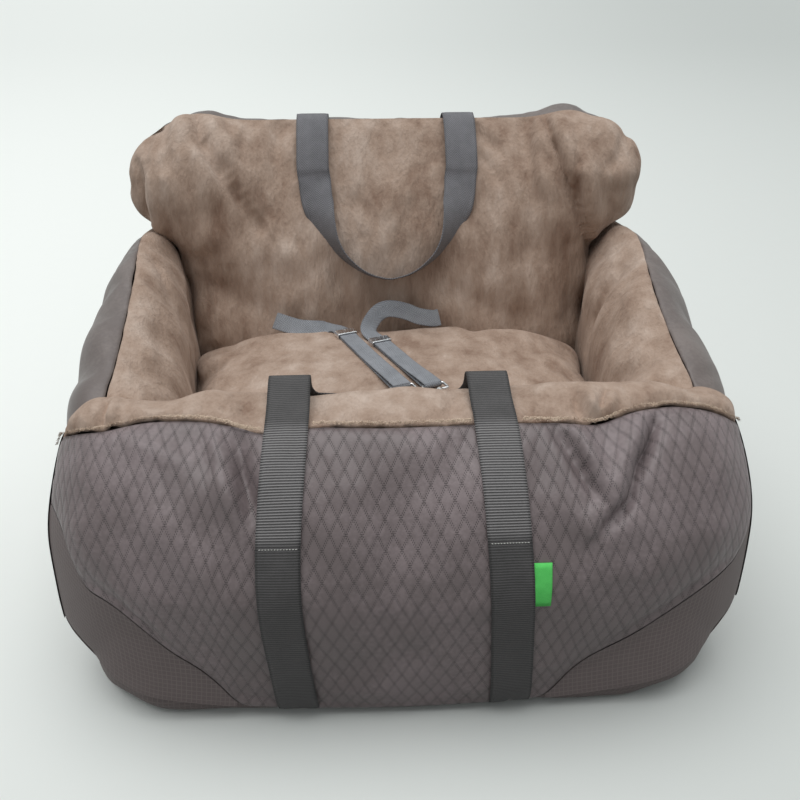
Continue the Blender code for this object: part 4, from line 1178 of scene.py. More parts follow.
    def build(self) -> None:
        """Builds the front, the top, the inside and the two ends."""
        net, inner_end = self.form()
        net = even_columns(net, self.pitch)
        closed = np.concatenate((net, net[:, :1]), axis=1)
        seam = self.seam_places(closed, self.seam, 3.9, 5.6, self.seam_column)
        count = len(closed)
        start = self.seam_places(closed, self.lower_seam, 0.0, 3.8, 0.0)
        inner = np.full(count, inner_end)
        last = np.full(count, float(net.shape[1]))
        front = evenly(closed, np.stack((start, seam), axis=1), self.pitch)
        top = evenly(closed, np.stack((seam, inner), axis=1), self.pitch)
        under = evenly(closed, np.stack((inner, last), axis=1), self.pitch * 2)
        self.build_front(front)
        self.build_corners(closed, start)
        self.build_top(top)
        self.build_under(under)
        for end, side in ((0, "left"), (-1, "right")):
            self.build_end(closed[end, :-1], side)

    def build_front(self, net: Net) -> None:
        """The patterned front panel, with the folds beside and between the straps."""
        sheet = Sheet("front_panel_cover", net)
        run = run_along(net[:, net.shape[1] // 2])
        widths = sheet.flat[..., 1]
        laid = np.broadcast_arrays((run - run[-1] / 2)[:, None], widths - widths[:, -1:])
        sheet.flat = np.stack(laid, axis=-1).copy()
        sheet.fold(
            valley(13, 0.0085, (236, 432), (239, 455), (244, 482), (250, 514)),
            ridge(11, 0.0045, (214, 440), (220, 468), (230, 500), (240, 530)),
            valley(16, 0.0040, (170, 440), (205, 460), (240, 480)),
            ridge(16, 0.0040, (120, 440), (150, 452), (200, 458)),
            tuck(14, 0.0060, (560, 430), (574, 448), (592, 482), (602, 498)),
            tuck(16, 0.0062, (600, 526), (626, 500), (636, 462), (648, 436), (652, 422)),
            valley(8, 0.0060, (655, 424), (648, 450), (640, 474)),
            ridge(20, 0.0045, (560, 505), (600, 532), (650, 520)),
            valley(26, 0.0035, (390, 470), (395, 540), (400, 600)),
            ridge(30, 0.0030, (350, 445), (400, 450), (450, 445)),
            valley(12, 0.0040, (84, 590), (112, 606), (142, 631), (169, 653), (204, 673)),
            valley(12, 0.0040, (737, 559), (717, 579), (681, 605), (635, 635), (584, 658)),
            ridge(24, 0.0030, (150, 520), (200, 560), (235, 620)),
            ridge(24, 0.0030, (560, 600), (600, 570), (680, 540)),
        )
        sheet.ripple(0.0016, 0.03, 0.11, 11).pucker(0.0006, 0.013, 0.008, 3)
        sheet.swell(3.0, 0.004, -0.01)
        self.over_tray(sheet)
        sheet.sew(0.0012, 0.005, 0.004)
        self.sheets.append(sheet)
        settle(sheet.mesh_object(), WARDROBE.diamonds, ("front_panel",))

    def build_corners(self, net: Net, start: Net) -> None:
        """The plain pieces under the front's curved lower corners."""
        rows = np.arange(len(net))
        middle = len(net) // 2
        for side, chosen in (("left", rows < middle), ("right", rows > middle)):
            picked = chosen & (start > 0.6)
            ends = np.stack((np.zeros(picked.sum()), start[picked]), axis=1)
            lower = evenly(net[picked], ends, self.pitch)
            sheet = Sheet(f"front_{side}_corner", lower, seamed="r")
            self.over_tray(sheet)
            sheet.points -= sheet.normals() * self.corner_sink
            settle(sheet.mesh_object(), WARDROBE.ripstop)

    def over_tray(self, sheet: Sheet) -> None:
        """Keeps the lower edge of the front outside the tray."""
        tray = Base()
        across = np.abs(sheet.points[..., 0])
        straight = HALF - tray.inset - tray.corner
        out = np.clip(across - straight, 0.0, tray.corner * 0.98)
        wall = FRONT + tray.inset + tray.corner - np.sqrt(tray.corner**2 - out**2)
        near = 1.0 - ease(sheet.points[..., 2], tray.height - 0.02, tray.height + 0.03)
        wanted = np.minimum(sheet.points[..., 1], wall - self.tray_clearance)
        sheet.points[..., 1] += (wanted - sheet.points[..., 1]) * near
        sheet.points[..., 2] = np.maximum(sheet.points[..., 2], TOUCH)

    def build_top(self, net: Net) -> None:
        """The plush over the crest and down the inside."""
        sheet = Sheet("front_top_plush", net)
        sheet.fold(
            tuck(9, 0.0060, (110, 398), (108, 415), (103, 432)),
            valley(8, 0.0045, (120, 400), (118, 424)),
            tuck(8, 0.0075, (579, 398), (583, 410), (592, 424)),
            tuck(8, 0.0060, (607, 396), (600, 412), (596, 426)),
            ridge(9, 0.0060, (592, 394), (594, 410), (596, 424)),
            ridge(16, 0.0050, (533, 388), (580, 386), (640, 384)),
            ridge(16, 0.0050, (640, 384), (690, 392), (730, 408)),
            ridge(20, 0.0035, (60, 430), (100, 412), (180, 404)),
            valley(12, 0.0040, (235, 395), (250, 410), (258, 430)),
            valley(12, 0.0035, (310, 388), (316, 405), (318, 424)),
            valley(10, 0.0035, (455, 385), (452, 402), (450, 422)),
            valley(10, 0.0035, (526, 392), (530, 408), (534, 420)),
        )
        sheet.ripple(0.0024, 0.02, 0.09, 21).swell(5.0, 0.007)
        sheet.pucker(0.0016, 0.012, 0.010, 5).sew(0.0018, 0.006)
        self.sheets.append(sheet)
        nodes = ("front_lining", "front_fill")
        settle(sheet.mesh_object(), WARDROBE.plush, nodes)

    def build_under(self, net: Net) -> None:
        """The plain underside that sits on the tray."""
        sheet = Sheet("front_underside", net, seamed="")
        settle(sheet.mesh_object(), WARDROBE.leather)

    def build_end(self, rim: Net, side: str) -> None:
        """One plain end of the bolster."""
        outward = Vector((-1.0 if side == "left" else 1.0, 0.0, 0.0))
        net = fan(np.concatenate((rim, rim[:1])), outward, 0.004)
        sheet = Sheet(f"front_{side}_end", net, flip=side == "left", seamed="t")
        sheet.ripple(0.0012, 0.03, 0.08, 31)
        self.sheets.append(sheet)
        settle(sheet.mesh_object(), WARDROBE.leather)

    def fringe(self) -> None:
        """The frayed pile along the seam between the front and the plush."""
        front = self.sheets[0]
        seam = front.points[:, -2]
        normals = front.normals()[:, -3]
        draw = np.random.default_rng(77)
        parts = []
        down = front.points[:, -5] - front.points[:, -2]
        down /= np.linalg.norm(down, axis=-1, keepdims=True)
        places = np.arange(len(seam))
        for _ in range(self.tufts):
            spot = draw.uniform(2, len(seam) - 3)
            root, out, fall = (between(spot, places, values) for values in (seam, normals, down))
            if any(low < root[0] < high for low, high in self.under_straps):
                continue
            length = draw.uniform(*self.tuft_lengths)
            thick = draw.uniform(*self.tuft_halves)
            lean = np.array([draw.normal() * 0.5, 0.0, 0.0])
            root = root + out * draw.uniform(0.0024, 0.0044) - fall * draw.uniform(0.0, 0.0030)
            way = fall + lean + out * draw.uniform(-0.05, 0.45)
            way /= np.linalg.norm(way)
            side = np.cross(way, out)
            side /= np.linalg.norm(side)
            side *= thick
            tip = root + way * length * 0.55 + out * 0.0004
            points = np.array([root - side, root + side, tip + side, tip - side])
            parts.append((points, points[:, [0, 2]], np.arange(4)[None]))
        settle(join_meshes("seam_fringe", parts), WARDROBE.fringe)


@dataclass
class SideBolster:
    """One stuffed side rim: plush inside and over the crest, plain leatherette outside."""

    hand: int
    pitch: float = 0.0065
    place_shares: tuple[float, ...] = (0.0, 0.20, 0.42, 0.62, 0.80, 1.0)
    front_height: float = 0.283
    peak: float = 0.340
    peak_share: float = 0.52
    back_height: float = 0.316
    tongue_reach: float = 0.060
    tongue_drop: float = 0.10
    tongue_draw: float = 0.22
    end_round: float = 0.040
    end_shrink: float = 0.42
    fineness: int = 8
    seam_column: float = 4.0
    seam_search: tuple[float, float] = (2.6, 5.0)
    seam_limits: tuple[float, float] = (3.2, 4.4)
    left_seam: Picture = ((141, 232), (130, 297), (115, 370), (102, 406))
    right_seam: Picture = ((634, 222), (655, 290), (668, 330), (688, 372), (700, 398))

    @property
    def side(self) -> str:
        """Which side this is."""
        return "left" if self.hand < 0 else "right"

    def height(self, share: float) -> float:
        """The crest's height along the side."""
        if share < self.peak_share:
            rise = float(ease(share / self.peak_share, 0.0, 1.0))
            return self.front_height + (self.peak - self.front_height) * rise
        fall = float(ease((share - self.peak_share) / (1 - self.peak_share), 0.0, 1.0))
        return self.peak + (self.back_height - self.peak) * fall

    def section(self, y: float, height: float, scale: float) -> list[tuple[float, float, float]]:
        """The part's own section across the side at a depth."""
        inner = cabin_half(y) + TOUCH
        outer = HALF - 0.012 * max((y - RIM_BACK) / (BACK - RIM_BACK), 0.0) ** 3
        width = outer - inner
        ring = [
            (inner, SEATING),
            (inner, SEATING + 0.118),
            (inner + 0.03 * width, 0.80 * height * scale),
            (inner + 0.16 * width, 0.98 * height * scale),
            (outer - 0.034, 1.04 * height * scale),
            (outer - 0.10 * width, 0.94 * height * scale),
            (outer, 0.72 * height * scale),
            (outer, 0.44 * height * scale),
            (outer - 0.12 * width, SEATING),
        ]
        return [(x, y, z) for x, z in ring]

    def round_back(self, net: Net) -> None:
        """Rounds the end behind the backrest."""
        share = np.clip((net[..., 1] - (BACK - self.end_round)) / self.end_round, 0.0, 1.0)
        scale = 1.0 - self.end_shrink * share**2.4
        middle = net[..., 0].mean(axis=1, keepdims=True)
        net[..., 0] = middle + (net[..., 0] - middle) * scale
        net[..., 2] = SEATING + (net[..., 2] - SEATING) * (1 - (1 - scale) * 0.45)

    def tongue(self, share: float = 1.0) -> list[tuple[float, float, float]]:
        """A section ahead of the rim's end, sunk into the front bolster."""
        ring = self.section(RIM_BACK, self.front_height, 1.0 - self.tongue_drop * share)
        draw = self.tongue_draw * share
        inner = ring[0][0]
        return [(inner + (x - inner) * (1 - draw), y - self.tongue_reach * share, z) for x, y, z in ring]

    def folds(self) -> tuple[Fold, ...]:
        """The folds in this side's plush, as the picture shows them."""
        if self.hand < 0:
            return (
                tuck(9, 0.006, (158, 262), (172, 300), (178, 318), (182, 340)),
                valley(8, 0.0035, (150, 300), (160, 330), (165, 372)),
                ridge(12, 0.004, (142, 262), (150, 300), (148, 350)),
                valley(9, 0.0035, (128, 350), (140, 368), (160, 380)),
            )
        return (
            tuck(9, 0.006, (592, 348), (596, 320), (604, 292), (614, 266)),
            valley(8, 0.0035, (620, 300), (612, 332), (608, 366)),
            ridge(12, 0.004, (638, 262), (634, 300), (640, 350)),
            valley(9, 0.0035, (655, 350), (640, 368), (620, 378)),
        )

    def seam_places(self, net: Net) -> Net:
        """For each row, the column where the picture shows the plush end."""
        x, y = np.array(self.left_seam if self.hand < 0 else self.right_seam, dtype=float).T
        first, last = (int(place * self.fineness) for place in self.seam_search)

        def beyond(spots: Net) -> Net:
            return self.hand * (np.interp(spots[:, 1], y, x) - spots[:, 0])

        places = crossings(net, first, last, beyond, self.seam_column * self.fineness)
        limits = (limit * self.fineness for limit in self.seam_limits)
        return smoothed(np.clip(places, *limits), 5)

    def build(self) -> None:
        """Builds the plush, the outside and the two ends."""
        length = BACK - 0.020 - RIM_BACK
        rings = [self.tongue(), self.tongue(0.5)]
        rings += [
            self.section(RIM_BACK + share * length, self.height(share), 1.0)
            for share in self.place_shares
        ]
        rings.append(self.section(BACK, self.back_height, 0.80))
        net, _ = subdivide(np.array(rings), (0, 1, 8), closed=True)
        reach_to(net, 2, SEATING, self.peak)
        self.round_back(net)
        net[..., 0] *= self.hand
        net = even_columns(net, self.pitch)
        closed = np.concatenate((net, net[:, :1]), axis=1)
        count = len(closed)
        seam, last = self.seam_places(closed), np.full(count, closed.shape[1] - 1.0)
        plush = evenly(closed, np.stack((np.zeros(count), seam), axis=1), self.pitch)
        outside = evenly(closed, np.stack((seam, last), axis=1), self.pitch)
        flip = self.hand > 0
        inner = Sheet(f"{self.side}_side_plush", plush, flip=flip)
        inner.fold(*self.folds()).ripple(0.0026, 0.03, 0.10, 41 + self.hand).swell(5.0, 0.007)
        inner.pucker(0.0010, 0.013, 0.010, 7).sew(0.0010, 0.005, 0.003)
        nodes = (f"{self.side}_lining", f"{self.side}_fill")
        settle(inner.mesh_object(), WARDROBE.plush, nodes)
        outer = Sheet(f"{self.side}_side_cover", outside, flip=flip)
        outer.ripple(0.0020, 0.035, 0.12, 51 + self.hand).swell(3.0, 0.004)
        outer.pucker(0.0010, 0.015, 0.012, 9).sew(0.0010, 0.005, 0.003)
        nodes = (f"{self.side}_side_panel",)
        settle(outer.mesh_object(), WARDROBE.leather, nodes)
        for end, name, way, bulge in ((0, "front", -1.0, 0.003), (-1, "back", 1.0, 0.006)):
            net = fan(closed[end], Vector((0.0, way, 0.0)), bulge)
            cap = Sheet(f"{self.side}_side_{name}_end", net, flip=(way > 0) == flip, seamed="")
            settle(cap.mesh_object(), WARDROBE.leather)


@dataclass
class Cushion:
    """The crowned seat cushion between the bolsters."""

    pitch: float = 0.0065
    stations: tuple[float, ...] = (-1.0, -0.9, -0.7, -0.4, 0.0, 0.4, 0.7, 0.9, 1.0)
    crown: float = 0.2376
    crown_limit: float = 0.2386
    crown_softness: float = 0.0016

    def section(self, share: float) -> list[tuple[float, float, float]]:
        """The part's own section from front to back at a share of its half width."""
        fall = abs(share) ** 4
        floor = CUSHION_FLOOR
        shoulder = floor + 0.046
        crown = floor + 0.086 - 0.040 * fall
        tuck_in = 0.6 + 0.4 * (1 - fall)
        ring = (
            (0.0, floor),
            (0.0, floor + 0.046 * tuck_in),
            (0.08, shoulder + 0.55 * (crown - shoulder)),
            (0.36, crown),
            (0.66, crown),
            (0.95, shoulder + 0.95 * (crown - shoulder)),
            (1.0, floor + 0.074 * tuck_in),
            (1.0, floor),
        )
        depth = SEAT_BACK - RIM_BACK
        points = [(RIM_BACK + a * depth, z) for a, z in ring]
        return [(share * (cabin_half(y) - 0.0045), y, z) for y, z in points]

    def rest(self, sheet: Sheet) -> None:
        """Keeps the crown just under the tethers that lie on it."""
        over = (self.crown_limit - sheet.points[..., 2]) / self.crown_softness
        held = self.crown_limit - self.crown_softness * np.logaddexp(0.0, over)
        sheet.points[..., 2] = np.where(over < 6.0, held, sheet.points[..., 2])

    def build(self) -> None:
        """Builds the plush top and the plain lining under it."""
        net = np.array([self.section(share) for share in self.stations])
        low = net[[0, -1]].copy()
        low[..., 2] = CUSHION_FLOOR + 0.004
        net = np.concatenate((low[:1], net, low[1:]))
        net, _ = subdivide(net)
        reach_to(net, 2, CUSHION_FLOOR + 0.02, self.crown)
        net = even_rows(even_columns(net, self.pitch), self.pitch)
        sheet = Sheet("seat_cushion_plush", net)
        sheet.turn_to(len(net) // 2, net.shape[1] // 2, (0.0, 0.0, 1.0))
        sheet.fold(
            tuck(8, 0.005, (186, 396), (194, 384), (204, 374), (220, 366)),
            valley(10, 0.004, (220, 352), (260, 356), (300, 352)),
            valley(10, 0.004, (480, 350), (520, 356), (566, 350)),
        )
        sheet.ripple(0.0028, 0.03, 0.12, 61).swell(5.0, 0.006)
        self.rest(sheet)
        nodes = ("seat_cushion_cover", "seat_cushion_fill")
        settle(sheet.mesh_object(), WARDROBE.plush, nodes)
        edge = np.concatenate((net[:, 0], net[::-1, -1]))
        base = fan(np.concatenate((edge, edge[:1])), Vector((0.0, 0.0, -1.0)), 0.0)
        base[..., 2] = CUSHION_FLOOR + 0.0005
        lining = Sheet("seat_cushion_base", base, seamed="")
        nodes = ("seat_cushion_lining",)
        settle(lining.mesh_object(0), WARDROBE.ripstop, nodes)


@dataclass
class Backrest:
    """The tall pillow behind the cushion, with two full corner lobes."""

    pitch: float = 0.0048
    lobe_lift: float = 0.011
    lobe_share: float = 0.84
    lobe_start: float = 0.42
    lobe_width: float = 0.13
    lift_heights: tuple[float, float] = (0.38, 0.455)
    corner_drop: float = 0.008
    seam_depth: float = 0.212
    seam_draw: float = 0.010
    crowding: float = 1.25
    joined_rows: int = 7
    face_columns: int = 140
    back_columns: int = 88
    front_line: tuple[tuple[float, float], ...] = (
        (0.108, 0.080), (0.108, 0.120), (0.109, 0.160), (0.110, 0.200), (0.118, 0.240),
        (0.128, 0.280), (0.139, 0.320), (0.154, 0.360), (0.174, 0.400), (0.188, 0.420),
        (0.208, 0.441), (0.228, 0.4520),
    )
    back_line: tuple[tuple[float, float], ...] = (
        (0.228, 0.4520), (0.240, 0.4555), (0.254, 0.4525), (0.271, 0.440), (0.285, 0.420),
        (0.2925, 0.400), (0.299, 0.360), (0.301, 0.320), (0.300, 0.280), (0.298, 0.240),
        (0.295, 0.200), (0.292, 0.160), (0.288, 0.120), (0.284, 0.080),
    )
    lobes_forward: tuple[tuple[float, float], ...] = (
        (0.30, 0.0), (0.34, 0.012), (0.36, 0.019), (0.40, 0.036), (0.42, 0.034), (0.44, 0.022),
        (0.456, 0.0),
    )
    lobes_back: tuple[tuple[float, float], ...] = (
        (0.30, 0.0), (0.36, 0.001), (0.40, -0.007), (0.42, -0.009), (0.44, -0.006), (0.456, 0.0),
    )
    width_by_height: tuple[tuple[float, float], ...] = (
        (0.08, 0.2570), (0.30, 0.2570), (0.325, 0.262), (0.345, 0.300), (0.36, 0.3080),
        (0.40, 0.3090), (0.42, 0.3040), (0.44, 0.2880), (0.450, 0.2700), (0.456, 0.2500),
    )

    def net(self, line: Picture, lobes: Picture, columns: int) -> Net:
        """A net of one face: rows go up or down the meridian, columns run across.

        Args:
            line: the face's line in the middle, as depth and height.
            lobes: at each height, how far the corner lobes stand ahead of that line.
            columns: how many points across.

        Returns:
            The net.
        """
        meridian = np.array(line)[:, None, :]
        for _ in range(SUBDIVISIONS):
            meridian = refine(meridian, 0)
        meridian = meridian[:, 0]
        run = run_along(meridian)
        spots = np.linspace(0.0, run[-1], int(run[-1] / self.pitch) + 1)
        depth = np.interp(spots, run, meridian[:, 0])
        height = np.interp(spots, run, meridian[:, 1])
        across = np.sin(np.linspace(-1.0, 1.0, columns) * self.crowding)
        across = across / math.sin(self.crowding)
        heights, widths = np.array(self.width_by_height).T
        half = np.interp(height, heights, widths)
        half = smoothed(half, 3)
        ears, forward = np.array(lobes).T
        ahead = np.interp(height, ears, forward)
        share = np.abs(across)[None, :]
        lobe = ease(share, self.lobe_start, self.lobe_share)
        y = depth[:, None] - ahead[:, None] * lobe
        seam_y = self.seam_depth - self.seam_draw * lobe
        pinch = np.power(np.clip(1.0 - np.power(share, 7.0), 0.0, 1.0), 1 / 2.4)
        y = seam_y + (y - seam_y) * pinch
        lift = np.exp(-(((share - self.lobe_share) / self.lobe_width) ** 2)) * self.lobe_lift
        lift = lift - self.corner_drop * np.power(share, 10.0)
        z = height[:, None] + lift * ease(height, *self.lift_heights)[:, None]
        x = half[:, None] * across[None, :]
        return np.stack((x, y, z), axis=-1)

    def join_tops(self, face: Sheet, back: Sheet) -> None:
        """Brings the back's upper rows to the face's top edge."""
        spots, own = (np.linspace(-1.0, 1.0, sheet.points.shape[1]) for sheet in (face, back))
        edge = between(own, spots, face.points[-1])
        fade = np.linspace(1.0, 0.0, self.joined_rows + 1)[:-1, None, None]
        back.points[: self.joined_rows] += (edge - back.points[0]) * fade

    def build(self) -> list[Sheet]:
        """Builds the plush face and the leatherette back."""
        net = self.net(self.front_line, self.lobes_forward, self.face_columns)
        face = Sheet("backrest_plush", net, seamed="blr")
        face.turn_to(10, self.face_columns // 2, (0.0, -1.0, 0.0))
        face.fold(
            tuck(16, 0.0078, (196, 104), (205, 138), (220, 162), (240, 190), (262, 222)),
            ridge(20, 0.0075, (182, 106), (188, 145), (205, 180), (226, 214)),
            valley(8, 0.0040, (168, 106), (164, 140), (168, 172)),
            valley(8, 0.0030, (150, 120), (144, 150), (146, 176)),
            valley(9, 0.0050, (275, 122), (276, 150), (280, 178)),
            tuck(12, 0.0060, (138, 165), (148, 215), (152, 250), (160, 264)),
            ridge(20, 0.0060, (180, 200), (200, 235), (240, 262)),
            valley(18, 0.0060, (205, 285), (240, 300), (285, 316)),
            valley(14, 0.0050, (330, 262), (345, 290), (350, 322)),
            ridge(18, 0.0045, (265, 240), (300, 262), (320, 300)),
            valley(11, 0.0062, (523, 116), (527, 145), (531, 170), (531, 245)),
            ridge(11, 0.0056, (536, 116), (541, 160), (543, 215)),
            tuck(12, 0.0070, (546, 114), (560, 150), (570, 180), (577, 205)),
            valley(7, 0.0045, (540, 150), (560, 180), (568, 205), (573, 228)),
            tuck(12, 0.0064, (578, 150), (582, 215), (595, 255), (600, 264)),
            valley(8, 0.0050, (595, 220), (604, 238), (611, 252)),
            valley(8, 0.0045, (472, 128), (490, 140), (500, 152)),
            valley(7, 0.0040, (475, 150), (490, 165), (498, 182)),
            valley(7, 0.0055, (620, 138), (617, 158), (604, 170)),
            valley(6, 0.0040, (630, 180), (636, 190), (634, 204)),
            ridge(20, 0.0070, (600, 125), (620, 150), (620, 190)),
            ridge(18, 0.0050, (500, 200), (506, 240), (520, 290)),
            valley(16, 0.0050, (440, 290), (470, 300), (520, 318)),
            valley(12, 0.0040, (400, 282), (404, 300), (420, 326)),
            valley(22, 0.0040, (360, 130), (385, 150), (410, 130)),
            ridge(24, 0.0035, (350, 180), (384, 200), (420, 180)),
        )
        face.ripple(0.0034, 0.025, 0.12, 71, 18).swell(5.0, 0.010, -0.03)
        face.pucker(0.0022, 0.014, 0.016, 13)
        nodes = ("backrest_cover", "backrest_fill")
        settle(face.mesh_object(), WARDROBE.plush, nodes)
        net = self.net(self.back_line, self.lobes_back, self.back_columns)
        back = Sheet("backrest_back", net, seamed="tlr")
        back.turn_to(30, self.back_columns // 2, (0.0, 1.0, 0.0))
        self.join_tops(face, back)
        back.ripple(0.0022, 0.04, 0.14, 81).swell(3.0, 0.005)
        back.pucker(0.0014, 0.016, 0.012, 15)
        settle(back.mesh_object(), WARDROBE.leather, ("back_panel",))
        return [face, back]


@dataclass
class Base:
    """The ripstop tray under everything."""

    inset: float = 0.016
    corner: float = 0.085
    height: float = 0.150
    back_share: float = 0.42
    bottom_round: float = 0.018
    pitch: float = 0.008

    def outline(self, shrink: float, corner: float) -> Net:
        """The tray's outline, seen from above, drawn in by shrink."""
        half_x = HALF - self.inset - shrink
        low, high = FRONT + self.inset + shrink, BACK - self.inset - shrink
        middles = ((half_x - corner, high - corner), (corner - half_x, high - corner),
                   (corner - half_x, low + corner), (half_x - corner, low + corner))
        points = []
        for quarter, (x, y) in enumerate(middles):
            for step in range(13):
                angle = math.pi / 2 * (quarter + step / 12)
                points.append((x + corner * math.cos(angle), y + corner * math.sin(angle), 0.0))
        points.append(points[0])
        return np.array(points)

    def build(self) -> Sheet:
        """Builds the tray's wall, its top and its floor, and hands back the wall."""
        turns = (
            (self.bottom_round, 0.0006, 0.105),
            (self.bottom_round * 0.4, 0.005, 0.108),
            (0.001, self.bottom_round, 0.104),
            (0.0, 0.045, 0.096),
            (0.0, 0.080, 0.090),
            (0.0, self.height, self.corner),
        )
        walls = []
        for shrink, z, corner in turns:
            line = self.outline(shrink, corner)
            line[:, 2] = z
            walls.append(line)
        net = np.array(walls)
        net = even_columns(even_rows(net, self.pitch), self.pitch)
        above = np.maximum(net[..., 2] - self.bottom_round, 0.0)
        share = self.back_share + (1 - self.back_share) * ease(-net[..., 1], 0.10, 0.19)
        net[..., 2] -= above * (1 - share)
        sheet = Sheet("tray_wall", net, seamed="")
        sheet.turn_to(len(net) // 2, 4, (0.0, 1.0, 0.0))
        lengths = sheet.flat.copy()
        sheet.flat = np.stack((lengths[-1:, :, 1].repeat(len(net), axis=0), lengths[..., 0]), axis=-1)
        sheet.ripple(0.0018, 0.03, 0.09, 91)
        sheet.points[..., 2] = np.maximum(sheet.points[..., 2], TOUCH)
        nodes = ("base_panel", "booster_slab", "booster_block")
        settle(sheet.mesh_object(), WARDROBE.ripstop, nodes)
        slab = fan(sheet.points[-1], Vector((0.0, 0.0, 1.0)), 0.0, (1.0, 0.985, 0.9, 0.5, 0.001))
        slab[1:, :, 2] = np.minimum(slab[1:, :, 2], SEATING - 0.0012)
        top = Sheet("tray_top", slab, seamed="")
        top.turn_to(2, 4, (0.0, 0.0, 1.0))
        top.flat = slab[..., :2].copy()
        settle(top.mesh_object(0), WARDROBE.ripstop)
        floor = fan(net[0], Vector((0.0, 0.0, -1.0)), 0.0)
        floor[..., 2] = 0.0006
        under = Sheet("tray_floor", floor, seamed="")
        under.flat = floor[..., :2].copy()
        settle(under.mesh_object(0), WARDROBE.ripstop)
        return sheet


# ---------------------------------------------------------------- webbing


def tube_faces(rings: int, count: int, inside_out: bool = False) -> Net:
    """The quads of a tube of rings, with both ends closed.

    Args:
        rings: how many rings.
        count: how many points each ring has.
        inside_out: whether the faces look the other way.

    Returns:
        The quads.
    """
    index = np.arange(rings * count).reshape(-1, count)
    ahead = np.roll(index, -1, axis=1)
    walls = np.stack((index[:-1], ahead[:-1], ahead[1:], index[1:]), axis=-1).reshape(-1, 4)
    k = np.arange(count // 2 - 1)
    cap = np.stack((k, k + 1, count - 2 - k, count - 1 - k), axis=-1)
    first, last = index[0][cap], index[-1][cap]
    if inside_out:
        return np.concatenate((walls[:, [0, 3, 2, 1]], first, last[:, ::-1]))
    return np.concatenate((walls, first[:, ::-1], last))


def webbing_net(centres: Net, sides: Net, width: float, thickness: float) -> tuple[Net, Net, Net]:
    """A flat strap with softly rounded edges along a line.

    Args:
        centres: the points along its middle.
        sides: the direction of its width at each point.
        width: its width.
        thickness: its thickness.

    Returns:
        The points, their lengths across and along, and the faces.
    """
    along = np.gradient(centres, axis=0)
    along /= np.linalg.norm(along, axis=-1, keepdims=True)
    across = sides - along * np.sum(sides * along, axis=-1, keepdims=True)
    across /= np.linalg.norm(across, axis=-1, keepdims=True)
    up = np.cross(along, across)
    half, rise = width / 2, thickness / 2
    profile = [(-half, 0.0), (-half + rise * 0.5, -rise * 0.85)]
    profile += [(share * half, -rise) for share in (-0.8, -0.4, 0.0, 0.4, 0.8)]
    profile += [(half - rise * 0.5, -rise * 0.85), (half, 0.0), (half - rise * 0.5, rise * 0.85)]
    profile += [(share * half, rise) for share in (0.8, 0.4, 0.0, -0.4, -0.8)]
    profile += [(-half + rise * 0.5, rise * 0.85)]
    shape = np.array(profile)
    points = centres[:, None] + across[:, None] * shape[None, :, :1]
    points = points + up[:, None] * shape[None, :, 1:]
    run = run_along(centres)
    flat = np.stack(np.broadcast_arrays(shape[None, :, 0] + half, run[:, None]), axis=-1)
    return points, flat, tube_faces(len(points), len(profile))


def smooth_run(values: Net, steps: int) -> Net:
    """A smooth curve through points, with steps places for each stretch."""
    padded = np.concatenate((2 * values[:1] - values[1:2], values, 2 * values[-1:] - values[-2:-1]))
    share = np.arange(steps)[:, None] / steps
    rows = []
    for a, b, c, d in zip(padded, padded[1:], padded[2:], padded[3:]):
        rows.append(0.5 * (2 * b + (c - a) * share + (2 * a - 5 * b + 4 * c - d) * share**2
                           + (3 * b - a - 3 * c + d) * share**3))
    rows.append(values[-1:])
    return np.concatenate(rows)


@dataclass
class Strap:
    """A strap along a table of places: x, y, z in millimetres, then the direction of its width."""

    name: str
    table: tuple[tuple[float, ...], ...]
    width: float
    thickness: float
    finish: object
    body: str
    slot: str
    steps: int = 3

    def build(self) -> None:
        """Builds the strap in the place of the part's own."""
        rows = np.array(self.table)
        centres = smooth_run(rows[:, :3] / 1000, self.steps)
        sides = smooth_run(rows[:, 3:], self.steps)
        net = webbing_net(centres, sides, self.width, self.thickness)
        thing = join_meshes(self.name + "_webbing", [net])
        settle(thing, self.finish, (self.name,), body=self.body)


